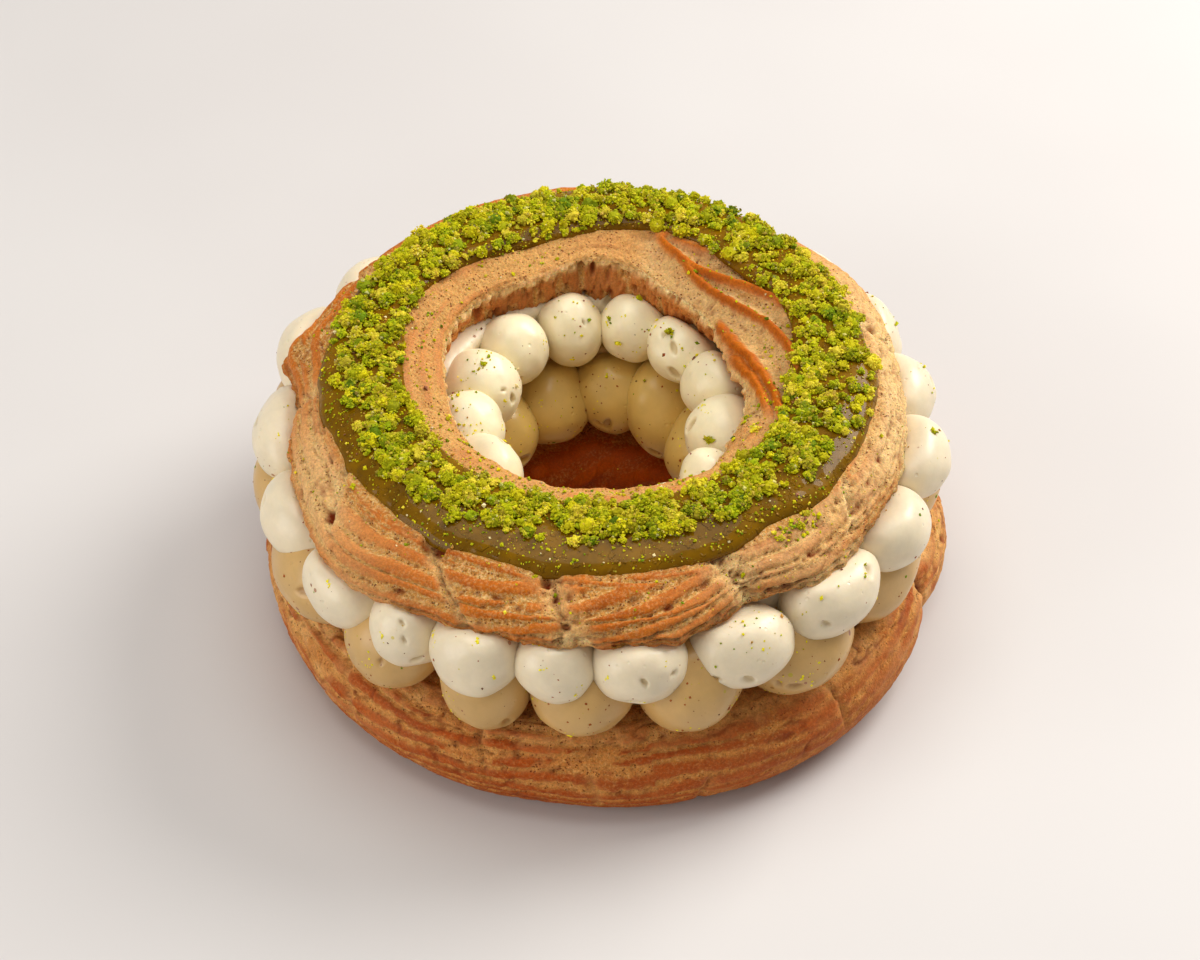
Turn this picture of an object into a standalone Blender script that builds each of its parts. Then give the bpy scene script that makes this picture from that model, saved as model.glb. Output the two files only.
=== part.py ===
"""A pistachio paris brest: a choux ring split in two, with two layers of piped cream domes between
the crusts and a band of glaze on the lid. Metres, +Z up, standing on z = 0."""

import math
import random
from collections import namedtuple

import bmesh
import bpy
from mathutils import Vector

# The axis of the ring. The base's flared seam moves the middle of the footprint off it.
AXIS = Vector((-0.00253, 0.00029, 0.0))
GAP = 0.0004
TURN_STEPS = 50
SHARP_ANGLE = math.radians(40.0)

# Colours, linear, and roughness of each piece
BASE_FINISH = ((0.46, 0.19, 0.07), 0.62)
LID_FINISH = ((0.52, 0.23, 0.09), 0.66)
VANILLA_FINISH = ((0.80, 0.71, 0.55), 0.42)
PRALINE_FINISH = ((0.56, 0.42, 0.22), 0.45)
GLAZE_FINISH = ((0.24, 0.22, 0.02), 0.18)
GLAZE_COAT = 0.6

# Base crust, the lower half of the choux ring
BASE_OFFSET = 0.0010
BASE_OUTER_RADIUS = 0.0965
BASE_INNER_RADIUS = 0.0235
BASE_FOOT_OUTER = 0.086
BASE_FOOT_INNER = 0.032
BASE_SHOULDER_HEIGHT = 0.028
BASE_LIP_HEIGHT = 0.020
BASE_LUMP_HEIGHT = 0.045
BASE_OUTER_POINTS = 11
BASE_INNER_POINTS = 5

# Lid crust, the upper half, set down a little lower at the front
LID_TILT = 0.05
CREAM_TILT = 0.025
LID_UNDERSIDE = 0.0600
LID_RIM_RADIUS = 0.0845
LID_RIM_HEIGHT = 0.0620
LID_CROWN_RADIUS = 0.062
LID_CROWN_HEIGHT = 0.0775
LID_HOLE_RADIUS = 0.0412
LID_HOLE_EDGE_HEIGHT = 0.0700
LID_SEAT_OUTER = 0.0815
LID_SEAT_INNER = 0.0455
LID_OUTER_POINTS = 9
LID_INNER_POINTS = 5
CROWN_FLAT = 6.0

# Flutes left on both crusts by the star nozzle
FLUTE_DEPTH = 0.0007
BASE_FLUTES = 9.0
LID_FLUTES = 10.0
FLUTE_TWIST = 2

# Lumps of an outline round the axis: azimuth and half width in degrees, height in metres
BASE_LUMPS = ((2, 13, 0.0048), (306, 22, 0.0024), (342, 5, -0.0028), (208, 16, -0.0020))
RIM_LUMPS = (
    (222, 14, 0.0060),
    (168, 6, 0.0036),
    (181, 7, -0.0030),
    (298, 9, -0.0050),
    (30, 14, 0.0030),
    (100, 30, 0.0015),
)
HOLE_LUMPS = ((145, 26, 0.0044), (308, 15, 0.0034), (30, 45, -0.0034))

# Glaze
GLAZE_INNER_RADIUS = 0.0515
GLAZE_OUTER_RADIUS = 0.0745
GLAZE_DEPTH = 0.0022
GLAZE_LIFT = 0.0006
GLAZE_POINTS = 6
GLAZE_LUMPS = ((75, 22, 0.0045), (190, 12, 0.0012), (238, 6, 0.0016), (350, 20, 0.0012))
GLAZE_HOLE_LUMPS = ((150, 24, 0.0050), (70, 26, 0.0065), (22, 16, 0.0040))

# Cream
CREAM_SPLIT = 0.0460
CORE_OUTER = 0.0800
CORE_INNER = 0.0430
CORE_OVERLAP = 0.0030
DOME_SLICES = (-0.60, 0.0, 0.60)
DOME_POINTS = 6
DOME_SPAN = 78.0
CREASE_SHARE = 0.93
SIZE_SPREAD = 0.05
PLACE_SPREAD = 0.0008
TURN_SPREAD = 0.8
DOME_HEIGHT = 0.95

# A piped row: how many domes and where the first is, in degrees; its radius and height, a dome's
# own radius, how oval the row is along Y, and its drift as (times round the ring, degrees, phase)
Row = namedtuple("Row", "count first radius height size oval drift seed")
VANILLA_OUTER = Row(21, 179.6, 0.0850, 0.0538, 0.0120, 0.0, ((2, 4.9, 352), (3, 2.2, 60)), 11)
VANILLA_INNER = Row(13, 352.9, 0.0385, 0.0570, 0.0118, 0.0035, ((2, 2.8, 3), (3, 1.3, 350)), 12)
PRALINE_OUTER = Row(17, 184.7, 0.0838, 0.0423, 0.0134, 0.0, ((2, 3.2, 343), (3, 1.0, 327)), 13)
PRALINE_INNER = Row(12, 24.4, 0.0365, 0.0325, 0.0134, 0.0005, ((2, 1.9, 303), (4, 1.5, 40)), 14)

# A slice through a row of domes: its azimuth, the radius and height of its middle, and its own radius
Slice = namedtuple("Slice", "azimuth radius height size")


def lumps_at(azimuth, lumps):
    """The sum at an azimuth, in radians, of lumps that fade out on both sides."""
    total = 0.0
    for centre, half_width, height in lumps:
        away = math.degrees(azimuth) - centre
        away = (away + 180.0) % 360.0 - 180.0
        total += height * math.exp(-((away / half_width) ** 2))
    return total


def arc(centre, reach, start, end, points):
    """Points on part of an ellipse, in the plane of a profile, from one angle to another in degrees."""
    angles = [math.radians(start + (end - start) * i / (points - 1)) for i in range(points)]
    return [(centre[0] + reach[0] * math.cos(a), centre[1] + reach[1] * math.sin(a)) for a in angles]


def base_profile():
    """The base's section: a bulging outer side, a flat foot, a rounder inner side and the cut top."""
    half_outer = BASE_SHOULDER_HEIGHT / 2
    half_inner = BASE_LIP_HEIGHT / 2
    outer_reach = (BASE_OUTER_RADIUS - BASE_FOOT_OUTER, half_outer)
    inner_reach = (BASE_FOOT_INNER - BASE_INNER_RADIUS, half_inner)
    outer = arc((BASE_FOOT_OUTER, half_outer), outer_reach, 90, -90, BASE_OUTER_POINTS)
    inner = arc((BASE_FOOT_INNER, half_inner), inner_reach, 270, 90, BASE_INNER_POINTS)
    return outer + inner


def lid_profile():
    """The lid's section: a low rim, a crown nearer the hole, a steep hole wall and a flat underside."""
    outer_reach = (LID_RIM_RADIUS - LID_CROWN_RADIUS, LID_CROWN_HEIGHT - LID_RIM_HEIGHT)
    inner_reach = (LID_CROWN_RADIUS - LID_HOLE_RADIUS, LID_CROWN_HEIGHT - LID_HOLE_EDGE_HEIGHT)
    outer = arc((LID_CROWN_RADIUS, LID_RIM_HEIGHT), outer_reach, 90 - CROWN_FLAT, 0, LID_OUTER_POINTS)
    inner_centre = (LID_CROWN_RADIUS, LID_HOLE_EDGE_HEIGHT)
    inner = arc(inner_centre, inner_reach, 180, 90 + CROWN_FLAT, LID_INNER_POINTS)
    return outer + [(LID_SEAT_OUTER, LID_UNDERSIDE), (LID_SEAT_INNER, LID_UNDERSIDE)] + inner


def lid_top(radius):
    """The height of the smooth lid at a radius."""
    if radius > LID_CROWN_RADIUS:
        edge_height = LID_RIM_HEIGHT
        share = (radius - LID_CROWN_RADIUS) / (LID_RIM_RADIUS - LID_CROWN_RADIUS)
    else:
        edge_height = LID_HOLE_EDGE_HEIGHT
        share = (LID_CROWN_RADIUS - radius) / (LID_CROWN_RADIUS - LID_HOLE_RADIUS)
    return edge_height + (LID_CROWN_HEIGHT - edge_height) * math.sqrt(max(0.0, 1.0 - share**2))


def glaze_profile():
    """A blanket that follows the lid, thinning to nothing at both edges."""
    middle = (GLAZE_INNER_RADIUS + GLAZE_OUTER_RADIUS) / 2
    half = (GLAZE_OUTER_RADIUS - GLAZE_INNER_RADIUS) / 2
    shares = [math.cos(math.pi * i / (GLAZE_POINTS - 1)) for i in range(GLAZE_POINTS)]
    bottom = [(middle + half * share, GLAZE_LIFT) for share in shares]
    bulges = [math.sqrt(1.0 - share**4) for share in shares[1:-1]]
    top = [(r, GLAZE_LIFT + GLAZE_DEPTH * bulge) for (r, _), bulge in zip(bottom[1:-1], bulges)]
    return [(radius, lid_top(radius) + lift) for radius, lift in bottom + top[::-1]]


def flute(along, azimuth, flutes):
    """The height of the nozzle's flutes at a place round the section, winding slowly round the ring."""
    return FLUTE_DEPTH * math.cos(flutes * along + FLUTE_TWIST * azimuth)


def shape_base(radius, azimuth, height):
    middle = (BASE_FOOT_OUTER + BASE_FOOT_INNER) / 2
    outward = max(0.0, (radius - middle) / (BASE_OUTER_RADIUS - middle))
    along = math.atan2(height - BASE_SHOULDER_HEIGHT / 2, max(radius - BASE_FOOT_OUTER, 0.0))
    side = max(0.0, math.cos(along)) if radius > BASE_FOOT_OUTER else 0.0
    low = max(0.0, 1.0 - height / BASE_LUMP_HEIGHT)
    radius += outward**3 * low * lumps_at(azimuth, BASE_LUMPS)
    radius += side * flute(along, azimuth, BASE_FLUTES)
    return radius, height


def shape_lid(radius, azimuth, height):
    outward = max(0.0, (radius - LID_CROWN_RADIUS) / (LID_RIM_RADIUS - LID_CROWN_RADIUS))
    inward = max(0.0, (LID_CROWN_RADIUS - radius) / (LID_CROWN_RADIUS - LID_HOLE_RADIUS))
    bare = min(1.0, max(0.0, (radius - GLAZE_OUTER_RADIUS) / (LID_RIM_RADIUS - GLAZE_OUTER_RADIUS)))
    along = math.atan2(height - LID_RIM_HEIGHT, radius - LID_CROWN_RADIUS)
    height += math.sqrt(bare) * flute(along, azimuth, LID_FLUTES)
    radius += outward**2 * lumps_at(azimuth, RIM_LUMPS) + inward**2 * lumps_at(azimuth, HOLE_LUMPS)
    return radius, height


def shape_glaze(radius, azimuth, height):
    middle = (GLAZE_INNER_RADIUS + GLAZE_OUTER_RADIUS) / 2
    share = (radius - middle) / (GLAZE_OUTER_RADIUS - middle)
    lumps = GLAZE_LUMPS if share > 0 else GLAZE_HOLE_LUMPS
    moved = radius + abs(share) * lumps_at(azimuth, lumps)
    return moved, height + lid_top(moved) - lid_top(radius)


def evaluated_mesh(obj):
    graph = bpy.context.evaluated_depsgraph_get()
    return bpy.data.meshes.new_from_object(obj.evaluated_get(graph))


def place(name, mesh, collection):
    obj = bpy.data.objects.new(name, mesh)
    collection.objects.link(obj)
    return obj


def helper(name, mesh, collection):
    """An object that only joins or cuts others."""
    obj = place(name, mesh, collection)
    obj.hide_render = True
    obj.display_type = "WIRE"
    return obj


def split_quads(mesh):
    """Makes every face a triangle, so that a grown copy has the same creases."""
    bm = bmesh.new()
    bm.from_mesh(mesh)
    bmesh.ops.triangulate(bm, faces=bm.faces)
    bm.to_mesh(mesh)
    bm.free()


def turned_mesh(name, profile, shape, offset=0.0, tilt=0.0):
    """A closed profile turned about the ring's axis, with each point then moved as shape says."""
    outline = bpy.data.meshes.new(name)
    count = len(profile)
    edges = [(i, (i + 1) % count) for i in range(count)]
    outline.from_pydata([(radius, 0.0, height) for radius, height in profile], edges, [])
    lathe = place(name + "_lathe", outline, bpy.context.scene.collection)
    screw = lathe.modifiers.new("Turn", "SCREW")
    screw.steps = TURN_STEPS
    screw.render_steps = TURN_STEPS
    screw.use_merge_vertices = True
    screw.merge_threshold = 0.00001
    mesh = evaluated_mesh(lathe)
    bpy.data.objects.remove(lathe)
    for vertex in mesh.vertices:
        azimuth = math.atan2(vertex.co.y, vertex.co.x)
        radius, height = shape(math.hypot(vertex.co.x, vertex.co.y), azimuth, vertex.co.z)
        across = radius * math.cos(azimuth) + offset
        depth = radius * math.sin(azimuth)
        vertex.co = AXIS + Vector((across, depth, height + tilt * depth))
    split_quads(mesh)
    return mesh


def azimuths_of(row, chance):
    """Where the domes of a row are, in radians, each a little off its even place."""
    azimuths = []
    for i in range(row.count):
        even = row.first + 360.0 * i / row.count
        waves = [size * math.sin(math.radians(times * (even - phase))) for times, size, phase in row.drift]
        drift = sum(waves)
        azimuths.append(math.radians(even + drift + TURN_SPREAD * chance.uniform(-1.0, 1.0)))
    return azimuths


def domes_of(row):
    """The middle slice of each dome of a row, as uneven as a hand pipes them."""
    chance = random.Random(row.seed)
    azimuths = azimuths_of(row, chance)
    domes = []
    for azimuth in azimuths:
        radius = row.radius - row.oval * math.cos(2.0 * azimuth) + PLACE_SPREAD * chance.uniform(-1.0, 1.0)
        height = row.height + PLACE_SPREAD * chance.uniform(-1.0, 1.0)
        size = row.size * (1.0 + SIZE_SPREAD * chance.uniform(-1.0, 1.0))
        domes.append(Slice(azimuth, radius, height, size))
    return domes


def slices_of(row):
    """The slices along a row: three across each dome and one in each crease, where two domes meet."""
    domes = domes_of(row)
    pinch = math.sqrt(1.0 - CREASE_SHARE**2)
    slices = []
    for i, dome in enumerate(domes):
        after = domes[(i + 1) % len(domes)]
        room_before = (dome.azimuth - domes[i - 1].azimuth) % (2.0 * math.pi) / 2.0
        room_after = (after.azimuth - dome.azimuth) % (2.0 * math.pi) / 2.0
        for share in DOME_SLICES:
            turn = share * (room_before if share < 0 else room_after)
            swell = math.sqrt(1.0 - (CREASE_SHARE * share) ** 2)
            slices.append(dome._replace(azimuth=dome.azimuth + turn, size=dome.size * swell))
        middle = [(a + b) / 2.0 for a, b in zip(dome[1:3], after[1:3])]
        slices.append(Slice(dome.azimuth + room_after, *middle, pinch * (dome.size + after.size) / 2.0))
    return slices


def section_points(part, out, core, floor, roof, grow):
    """Half of a cream layer's section in one slice: roof, the dome's outward side and floor."""
    reach = (out * (part.size + grow), part.size * DOME_HEIGHT + grow)
    dome = arc((part.radius, part.height), reach, DOME_SPAN, -DOME_SPAN, DOME_POINTS)
    edge = core + out * grow
    points = []
    for radius, height in [(edge, roof + grow)] + dome + [(edge, floor - grow)]:
        depth = radius * math.sin(part.azimuth)
        points.append(AXIS + Vector((radius * math.cos(part.azimuth), depth, height + CREAM_TILT * depth)))
    return points


def fill_ring(bm, outer, inner):
    """Fills the flat between two rims with triangles, taking their points in the order of azimuth."""

    def azimuth_of(vertex):
        return math.atan2(vertex.co.y - AXIS.y, vertex.co.x - AXIS.x)

    last = [max(outer, key=azimuth_of), max(inner, key=azimuth_of)]
    rim_of = {vertex: side for side, rim in enumerate((outer, inner)) for vertex in rim}
    for vertex in sorted(rim_of, key=azimuth_of):
        bm.faces.new((*last, vertex))
        last[rim_of[vertex]] = vertex


def cream_mesh(name, outer_row, inner_row, floor, roof, grow=0.0):
    """A layer of cream: a row of domes on its outer side, another round its hole, flat between them."""
    bm = bmesh.new()
    rims = []
    for row, out, core in ((outer_row, 1.0, CORE_OUTER), (inner_row, -1.0, CORE_INNER)):
        columns = []
        for part in slices_of(row):
            columns.append([bm.verts.new(p) for p in section_points(part, out, core, floor, roof, grow)])
        for before, column in zip(columns[-1:] + columns, columns):
            for j in range(1, len(column)):
                bm.faces.new((before[j - 1], before[j], column[j]))
                bm.faces.new((before[j - 1], column[j], column[j - 1]))
        rims.append(columns)
    for level in (0, -1):
        fill_ring(bm, *([column[level] for column in columns] for columns in rims))
    bmesh.ops.recalc_face_normals(bm, faces=bm.faces)
    mesh = bpy.data.meshes.new(name)
    bm.to_mesh(mesh)
    bm.free()
    return mesh


def cut(obj, room):
    """Takes a neighbour's room out of an object."""
    boolean = obj.modifiers.new("Room", "BOOLEAN")
    boolean.operation = "DIFFERENCE"
    boolean.solver = "EXACT"
    boolean.object = room
    mesh = evaluated_mesh(obj)
    obj.modifiers.clear()
    obj.data = mesh


def finish(obj, colour_and_roughness, coat=0.0):
    """Smooth shading and the piece's own material."""
    colour, roughness = colour_and_roughness
    material = bpy.data.materials.new(obj.name)
    material.use_nodes = True
    shader = material.node_tree.nodes["Principled BSDF"]
    shader.inputs["Base Color"].default_value = (*colour, 1.0)
    shader.inputs["Roughness"].default_value = roughness
    shader.inputs["Metallic"].default_value = 0.0
    shader.inputs["Coat Weight"].default_value = coat
    obj.data.materials.clear()
    obj.data.materials.append(material)
    obj.data.shade_smooth()
    obj.data.set_sharp_from_angle(angle=SHARP_ANGLE)
    obj.data.name = obj.name


def grown_mesh(mesh, distance):
    """A copy whose faces stand out by a distance, to cut room for what the mesh is."""
    bm = bmesh.new()
    bm.from_mesh(mesh)
    bm.normal_update()
    moves = [vertex.normal * distance * vertex.calc_shell_factor() for vertex in bm.verts]
    for vertex, move in zip(bm.verts, moves):
        vertex.co += move
    grown = bpy.data.meshes.new(mesh.name + "_room")
    bm.to_mesh(grown)
    bm.free()
    return grown


def make_crust(name, mesh, crust_finish, parts, cutters):
    """A crust, and the room that it takes in the cream."""
    room = helper(name + "_room", grown_mesh(mesh, GAP), cutters)
    finish(place(name, mesh, parts), crust_finish)
    return room


def vanilla_mesh(name, grow):
    return cream_mesh(name, VANILLA_OUTER, VANILLA_INNER, CREAM_SPLIT, LID_UNDERSIDE + CORE_OVERLAP, grow)


def make_vanilla(parts, lid_room):
    """The upper cream, whose domes are whole where they show, pressed flat under the lid."""
    cream = place("vanilla_cream", vanilla_mesh("vanilla", 0.0), parts)
    cut(cream, lid_room)
    finish(cream, VANILLA_FINISH)


def make_praline(parts, cutters, base_room, lid_room):
    """The lower cream, which rests on the base and gives way to the vanilla domes."""
    floor = BASE_LIP_HEIGHT - CORE_OVERLAP
    mesh = cream_mesh("praline", PRALINE_OUTER, PRALINE_INNER, floor, CREAM_SPLIT + CORE_OVERLAP)
    cream = place("praline_cream", mesh, parts)
    vanilla_room = helper("vanilla_room", vanilla_mesh("room", GAP), cutters)
    for room in (vanilla_room, base_room, lid_room):
        cut(cream, room)
    finish(cream, PRALINE_FINISH)


def make_glaze(parts):
    glaze_mesh = turned_mesh("glaze", glaze_profile(), shape_glaze, 0.0, LID_TILT)
    glaze = place("pistachio_glaze", glaze_mesh, parts)
    finish(glaze, GLAZE_FINISH, GLAZE_COAT)


def clear_scene():
    for obj in list(bpy.data.objects):
        bpy.data.objects.remove(obj)


def main():
    clear_scene()
    parts = bpy.data.collections.new("paris_brest")
    cutters = bpy.data.collections.new("cutters")
    bpy.context.scene.collection.children.link(parts)
    bpy.context.scene.collection.children.link(cutters)
    base = turned_mesh("base", base_profile(), shape_base, BASE_OFFSET)
    lid = turned_mesh("lid", lid_profile(), shape_lid, 0.0, LID_TILT)
    base_room = make_crust("base_crust", base, BASE_FINISH, parts, cutters)
    lid_room = make_crust("lid_crust", lid, LID_FINISH, parts, cutters)
    make_vanilla(parts, lid_room)
    make_praline(parts, cutters, base_room, lid_room)
    make_glaze(parts)


main()
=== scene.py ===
"""A pistachio paris brest: two fluted choux crusts, two layers of piped cream domes, a band of
pistachio glaze and the crumbs on it. Metres, +Z up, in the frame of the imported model."""

import math
import random
from collections import namedtuple

import bmesh
import bpy
import numpy as np
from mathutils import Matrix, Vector


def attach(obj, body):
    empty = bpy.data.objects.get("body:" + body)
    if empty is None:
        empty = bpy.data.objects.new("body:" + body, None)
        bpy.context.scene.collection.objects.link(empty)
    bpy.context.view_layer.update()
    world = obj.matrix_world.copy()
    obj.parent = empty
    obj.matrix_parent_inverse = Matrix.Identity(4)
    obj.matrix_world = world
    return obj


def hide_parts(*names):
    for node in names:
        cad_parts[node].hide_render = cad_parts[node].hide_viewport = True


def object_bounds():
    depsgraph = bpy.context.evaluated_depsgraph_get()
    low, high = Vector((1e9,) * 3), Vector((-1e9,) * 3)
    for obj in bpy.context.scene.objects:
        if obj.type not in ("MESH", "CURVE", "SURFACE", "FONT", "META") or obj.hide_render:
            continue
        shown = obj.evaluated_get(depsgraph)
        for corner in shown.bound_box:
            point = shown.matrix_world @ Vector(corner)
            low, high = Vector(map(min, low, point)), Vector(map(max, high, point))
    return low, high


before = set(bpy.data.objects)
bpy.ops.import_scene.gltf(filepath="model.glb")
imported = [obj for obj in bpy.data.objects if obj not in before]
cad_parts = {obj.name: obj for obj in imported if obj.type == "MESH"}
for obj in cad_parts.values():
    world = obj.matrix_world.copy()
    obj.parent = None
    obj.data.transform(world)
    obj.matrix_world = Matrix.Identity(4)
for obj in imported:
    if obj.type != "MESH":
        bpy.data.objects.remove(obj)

CAD_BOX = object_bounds()
MM = 0.001

# The ring's axis. The base's flared seam moves the middle of the footprint off it.
FOOTPRINT_MIDDLE = (np.array(CAD_BOX[0]) + np.array(CAD_BOX[1])) / 2
AXIS = np.array([FOOTPRINT_MIDDLE[0] - 2.53 * MM, FOOTPRINT_MIDDLE[1] + 0.29 * MM, 0.0])

# Base crust
BASE_OFFSET = 1.0 * MM
BASE_OUTER_RADIUS = 96.5 * MM
BASE_INNER_RADIUS = 23.5 * MM
BASE_FOOT_OUTER = 86.0 * MM
BASE_FOOT_INNER = 32.0 * MM
BASE_SHOULDER_HEIGHT = 28.0 * MM
BASE_LIP_HEIGHT = 20.0 * MM
BASE_LUMP_HEIGHT = 45.0 * MM
BASE_STEPS = 760

# Lid crust, set down a little lower at the front
LID_TILT = 0.05
CREAM_TILT = 0.025
LID_UNDERSIDE = 60.0 * MM
LID_RIM_RADIUS = 84.5 * MM
LID_RIM_HEIGHT = 62.0 * MM
LID_CROWN_RADIUS = 62.0 * MM
LID_CROWN_HEIGHT = 77.5 * MM
LID_HOLE_RADIUS = 41.2 * MM
LID_HOLE_EDGE_HEIGHT = 70.0 * MM
LID_SEAT_OUTER = 81.5 * MM
LID_SEAT_INNER = 45.5 * MM
LID_STEPS = 820

# A full turn is spun in coarse steps, and each is then cut into this many
TURN_CUTS = 10
CORE_STEPS = 420

# Lumps of an outline round the axis: azimuth and half width in degrees, height
BASE_LUMPS = (
    (2, 13, 4.8 * MM),
    (306, 22, 2.4 * MM),
    (342, 5, -2.8 * MM),
    (208, 16, -2.0 * MM),
)
RIM_LUMPS = (
    (222, 14, 6.0 * MM),
    (168, 6, 3.6 * MM),
    (181, 7, -3.0 * MM),
    (298, 9, -5.0 * MM),
    (30, 14, 3.0 * MM),
    (100, 30, 1.5 * MM),
)
HOLE_LUMPS = (
    (145, 26, 4.4 * MM),
    (308, 15, 3.4 * MM),
    (30, 45, -3.4 * MM),
    (88, 17, 6.0 * MM),
)
# The hole's wall at the back: how far its top stays up, and how far its foot comes in
WALL_LIFT = ((95, 42, 3.6 * MM),)
WALL_FOOT = ((90, 30, -2.6 * MM),)

# Glaze
GLAZE_INNER_RADIUS = 51.5 * MM
GLAZE_OUTER_RADIUS = 74.5 * MM
GLAZE_DEPTH = 2.3 * MM
GLAZE_LIFT = 0.3 * MM
GLAZE_STEPS = 640
GLAZE_LUMPS = (
    (75, 22, 4.5 * MM),
    (190, 12, 1.2 * MM),
    (238, 6, 1.6 * MM),
    (229, 4, 1.6 * MM),
    (262, 6, 1.2 * MM),
    (305, 7, -1.8 * MM),
    (322, 4, 1.2 * MM),
    (350, 20, 1.2 * MM),
)
GLAZE_HOLE_LUMPS = ((150, 24, 5.0 * MM), (70, 26, 6.5 * MM), (22, 16, 4.0 * MM))

# How far the rim reaches out at the front, and how much it rises as it does
FRONT_REACH = 4.0 * MM
FRONT_RISE = 0.95

# Cream domes. A piped row: how many domes and where the first is, in degrees; its radius and
# height, a dome's own radius, how oval the row is along Y, how far it is pushed out at the front,
# and its drift as (times, degrees, phase)
SIZE_SPREAD = 0.07
PLACE_SPREAD = 1.0 * MM
TURN_SPREAD = 0.8
DOME_HEIGHT = 0.95
DOME_SEGMENTS = 80
DOME_RINGS = 50
DOME_FRONT_RINGS = 42
DOME_FRONT_ANGLE = math.radians(125)
Row = namedtuple("Row", "count first radius height size oval push drift seed")
ROWS = {
    "vanilla_outer": Row(
        21, 179.6, 0.0852, 0.0540, 0.0119, 0.0, 0.0, ((2, 4.9, 352), (3, 2.2, 60)), 11
    ),
    "vanilla_inner": Row(
        13, 352.9, 0.0385, 0.0565, 0.0112, 0.0020, 0.0055, ((2, 2.8, 3), (3, 1.3, 350)), 12
    ),
    "praline_outer": Row(
        17, 184.7, 0.0824, 0.0414, 0.0138, 0.0, 0.0, ((2, 3.2, 343), (3, 1.0, 327)), 13
    ),
    "praline_inner": Row(
        12, 24.4, 0.0375, 0.0330, 0.0136, 0.0005, 0.0040, ((2, 1.9, 303), (4, 1.5, 40)), 14
    ),
}
Dome = namedtuple("Dome", "centre azimuth radial across height seed")

# The nozzle's bars on the lid: spacing, height, and how far they climb across the front
LID_BAR_SPACING = 4.7 * MM
LID_BAR_HEIGHT = 1.0 * MM
LID_BAR_CLIMB = 15.0 * MM
LID_CLIMB_AZIMUTHS = (246, 304)

# Cracks in a crust. At one end of the crack and at the other: azimuth in degrees and distance along
# the section; then half width and depth.
Crack = namedtuple("Crack", "azimuth along other_azimuth other_along half_width depth")
LID_CRACKS = (
    Crack(235, 0.0180, 247, 0.0020, 0.0008, 0.0014),
    Crack(260, 0.0190, 267, -0.0010, 0.0017, 0.0013),
    Crack(294, 0.0180, 299, -0.0010, 0.0017, 0.0012),
    Crack(209, 0.0180, 217, 0.0070, 0.0007, 0.0012),
    Crack(186, 0.0200, 183, -0.0010, 0.0010, 0.0018),
    Crack(327, 0.0160, 322, 0.0050, 0.0006, 0.0010),
    Crack(15, 0.0180, 9, -0.0010, 0.0009, 0.0015),
    Crack(48, 0.0150, 53, 0.0010, 0.0007, 0.0014),
    Crack(82, 0.0180, 77, -0.0010, 0.0010, 0.0016),
    Crack(118, 0.0150, 122, 0.0000, 0.0007, 0.0012),
    Crack(150, 0.0180, 146, 0.0010, 0.0009, 0.0014),
)
BASE_CRACKS = (
    Crack(249, 0.0370, 252, 0.0220, 0.0006, 0.0010),
    Crack(287, 0.0210, 285, 0.0040, 0.0006, 0.0010),
    Crack(309, 0.0400, 312, 0.0180, 0.0006, 0.0009),
    Crack(341, 0.0420, 342, 0.0020, 0.0011, 0.0026),
    Crack(222, 0.0360, 226, 0.0160, 0.0005, 0.0008),
    Crack(268, 0.0250, 270, 0.0120, 0.0005, 0.0006),
    Crack(20, 0.0380, 24, 0.0060, 0.0007, 0.0012),
    Crack(62, 0.0380, 58, 0.0100, 0.0006, 0.0010),
    Crack(97, 0.0380, 100, 0.0050, 0.0008, 0.0013),
    Crack(139, 0.0380, 134, 0.0080, 0.0006, 0.0011),
    Crack(176, 0.0380, 179, 0.0040, 0.0008, 0.0012),
)

# Hollows in the lid: azimuth, distance along the section, half width and depth
LID_HOLLOWS = (
    (235.5, 15.5 * MM, 1.7 * MM, 1.6 * MM),
    (238.0, 16.5 * MM, 2.2 * MM, 2.2 * MM),
    (240.0, 15.0 * MM, 1.4 * MM, 1.5 * MM),
    (260.5, 15.0 * MM, 1.9 * MM, 1.9 * MM),
    (262.5, 12.0 * MM, 1.8 * MM, 2.0 * MM),
    (264.5, 4.5 * MM, 1.5 * MM, 2.0 * MM),
    (266.5, 6.0 * MM, 1.4 * MM, 1.6 * MM),
    (294.5, 15.0 * MM, 1.5 * MM, 1.8 * MM),
    (297.5, 9.0 * MM, 1.5 * MM, 1.5 * MM),
)

# Where the lid's bars lie closer together, and further apart
BAR_FILL = ((216, 22, 0.17), (90, 60, 0.10), (274, 22, 0.08), (335, 18, -0.06))

# Where the crusts are browned less
LID_PALE = ((350, 34, 1.0), (30, 25, 0.4), (206, 20, 0.7), (306, 18, 0.35))
BASE_PALE = ((352, 28, 1.0), (30, 25, 0.4), (206, 22, 0.9))

# Where the base is mottled more than barred
MOTTLED_SIDE = ((312, 30, 0.7), (120, 25, 0.4))

# Sharp crests that fan round the right of the hole: azimuth in degrees and radius in millimetres
LID_CRESTS = (
    ((76, 59.1), (62, 56.5), (50, 57.5), (37, 60.0)),
    ((74, 57.4), (58, 49.3), (41, 51.0), (20, 58.0), (6, 58.6)),
    ((62, 50.0), (45, 45.3), (33, 45.7), (11, 51.9), (356, 53.7)),
    ((33, 39.6), (10, 41.4), (351, 47.2), (337, 53.0)),
    ((30, 37.4), (8, 39.2), (352, 43.8), (340, 48.0)),
)
CREST_MIDDLE = 40
CREST_HEIGHT = 3.4 * MM
CREST_WIDTH = 1.6 * MM
CREST_BACK = 4.5 * MM


# ---------------------------------------------------------------- numbers over a surface


def smooth(low, high, values):
    """0 below low, 1 above high, and a soft step between."""
    share = np.clip((values - low) / (high - low), 0.0, 1.0)
    return share * share * (3.0 - 2.0 * share)


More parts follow.
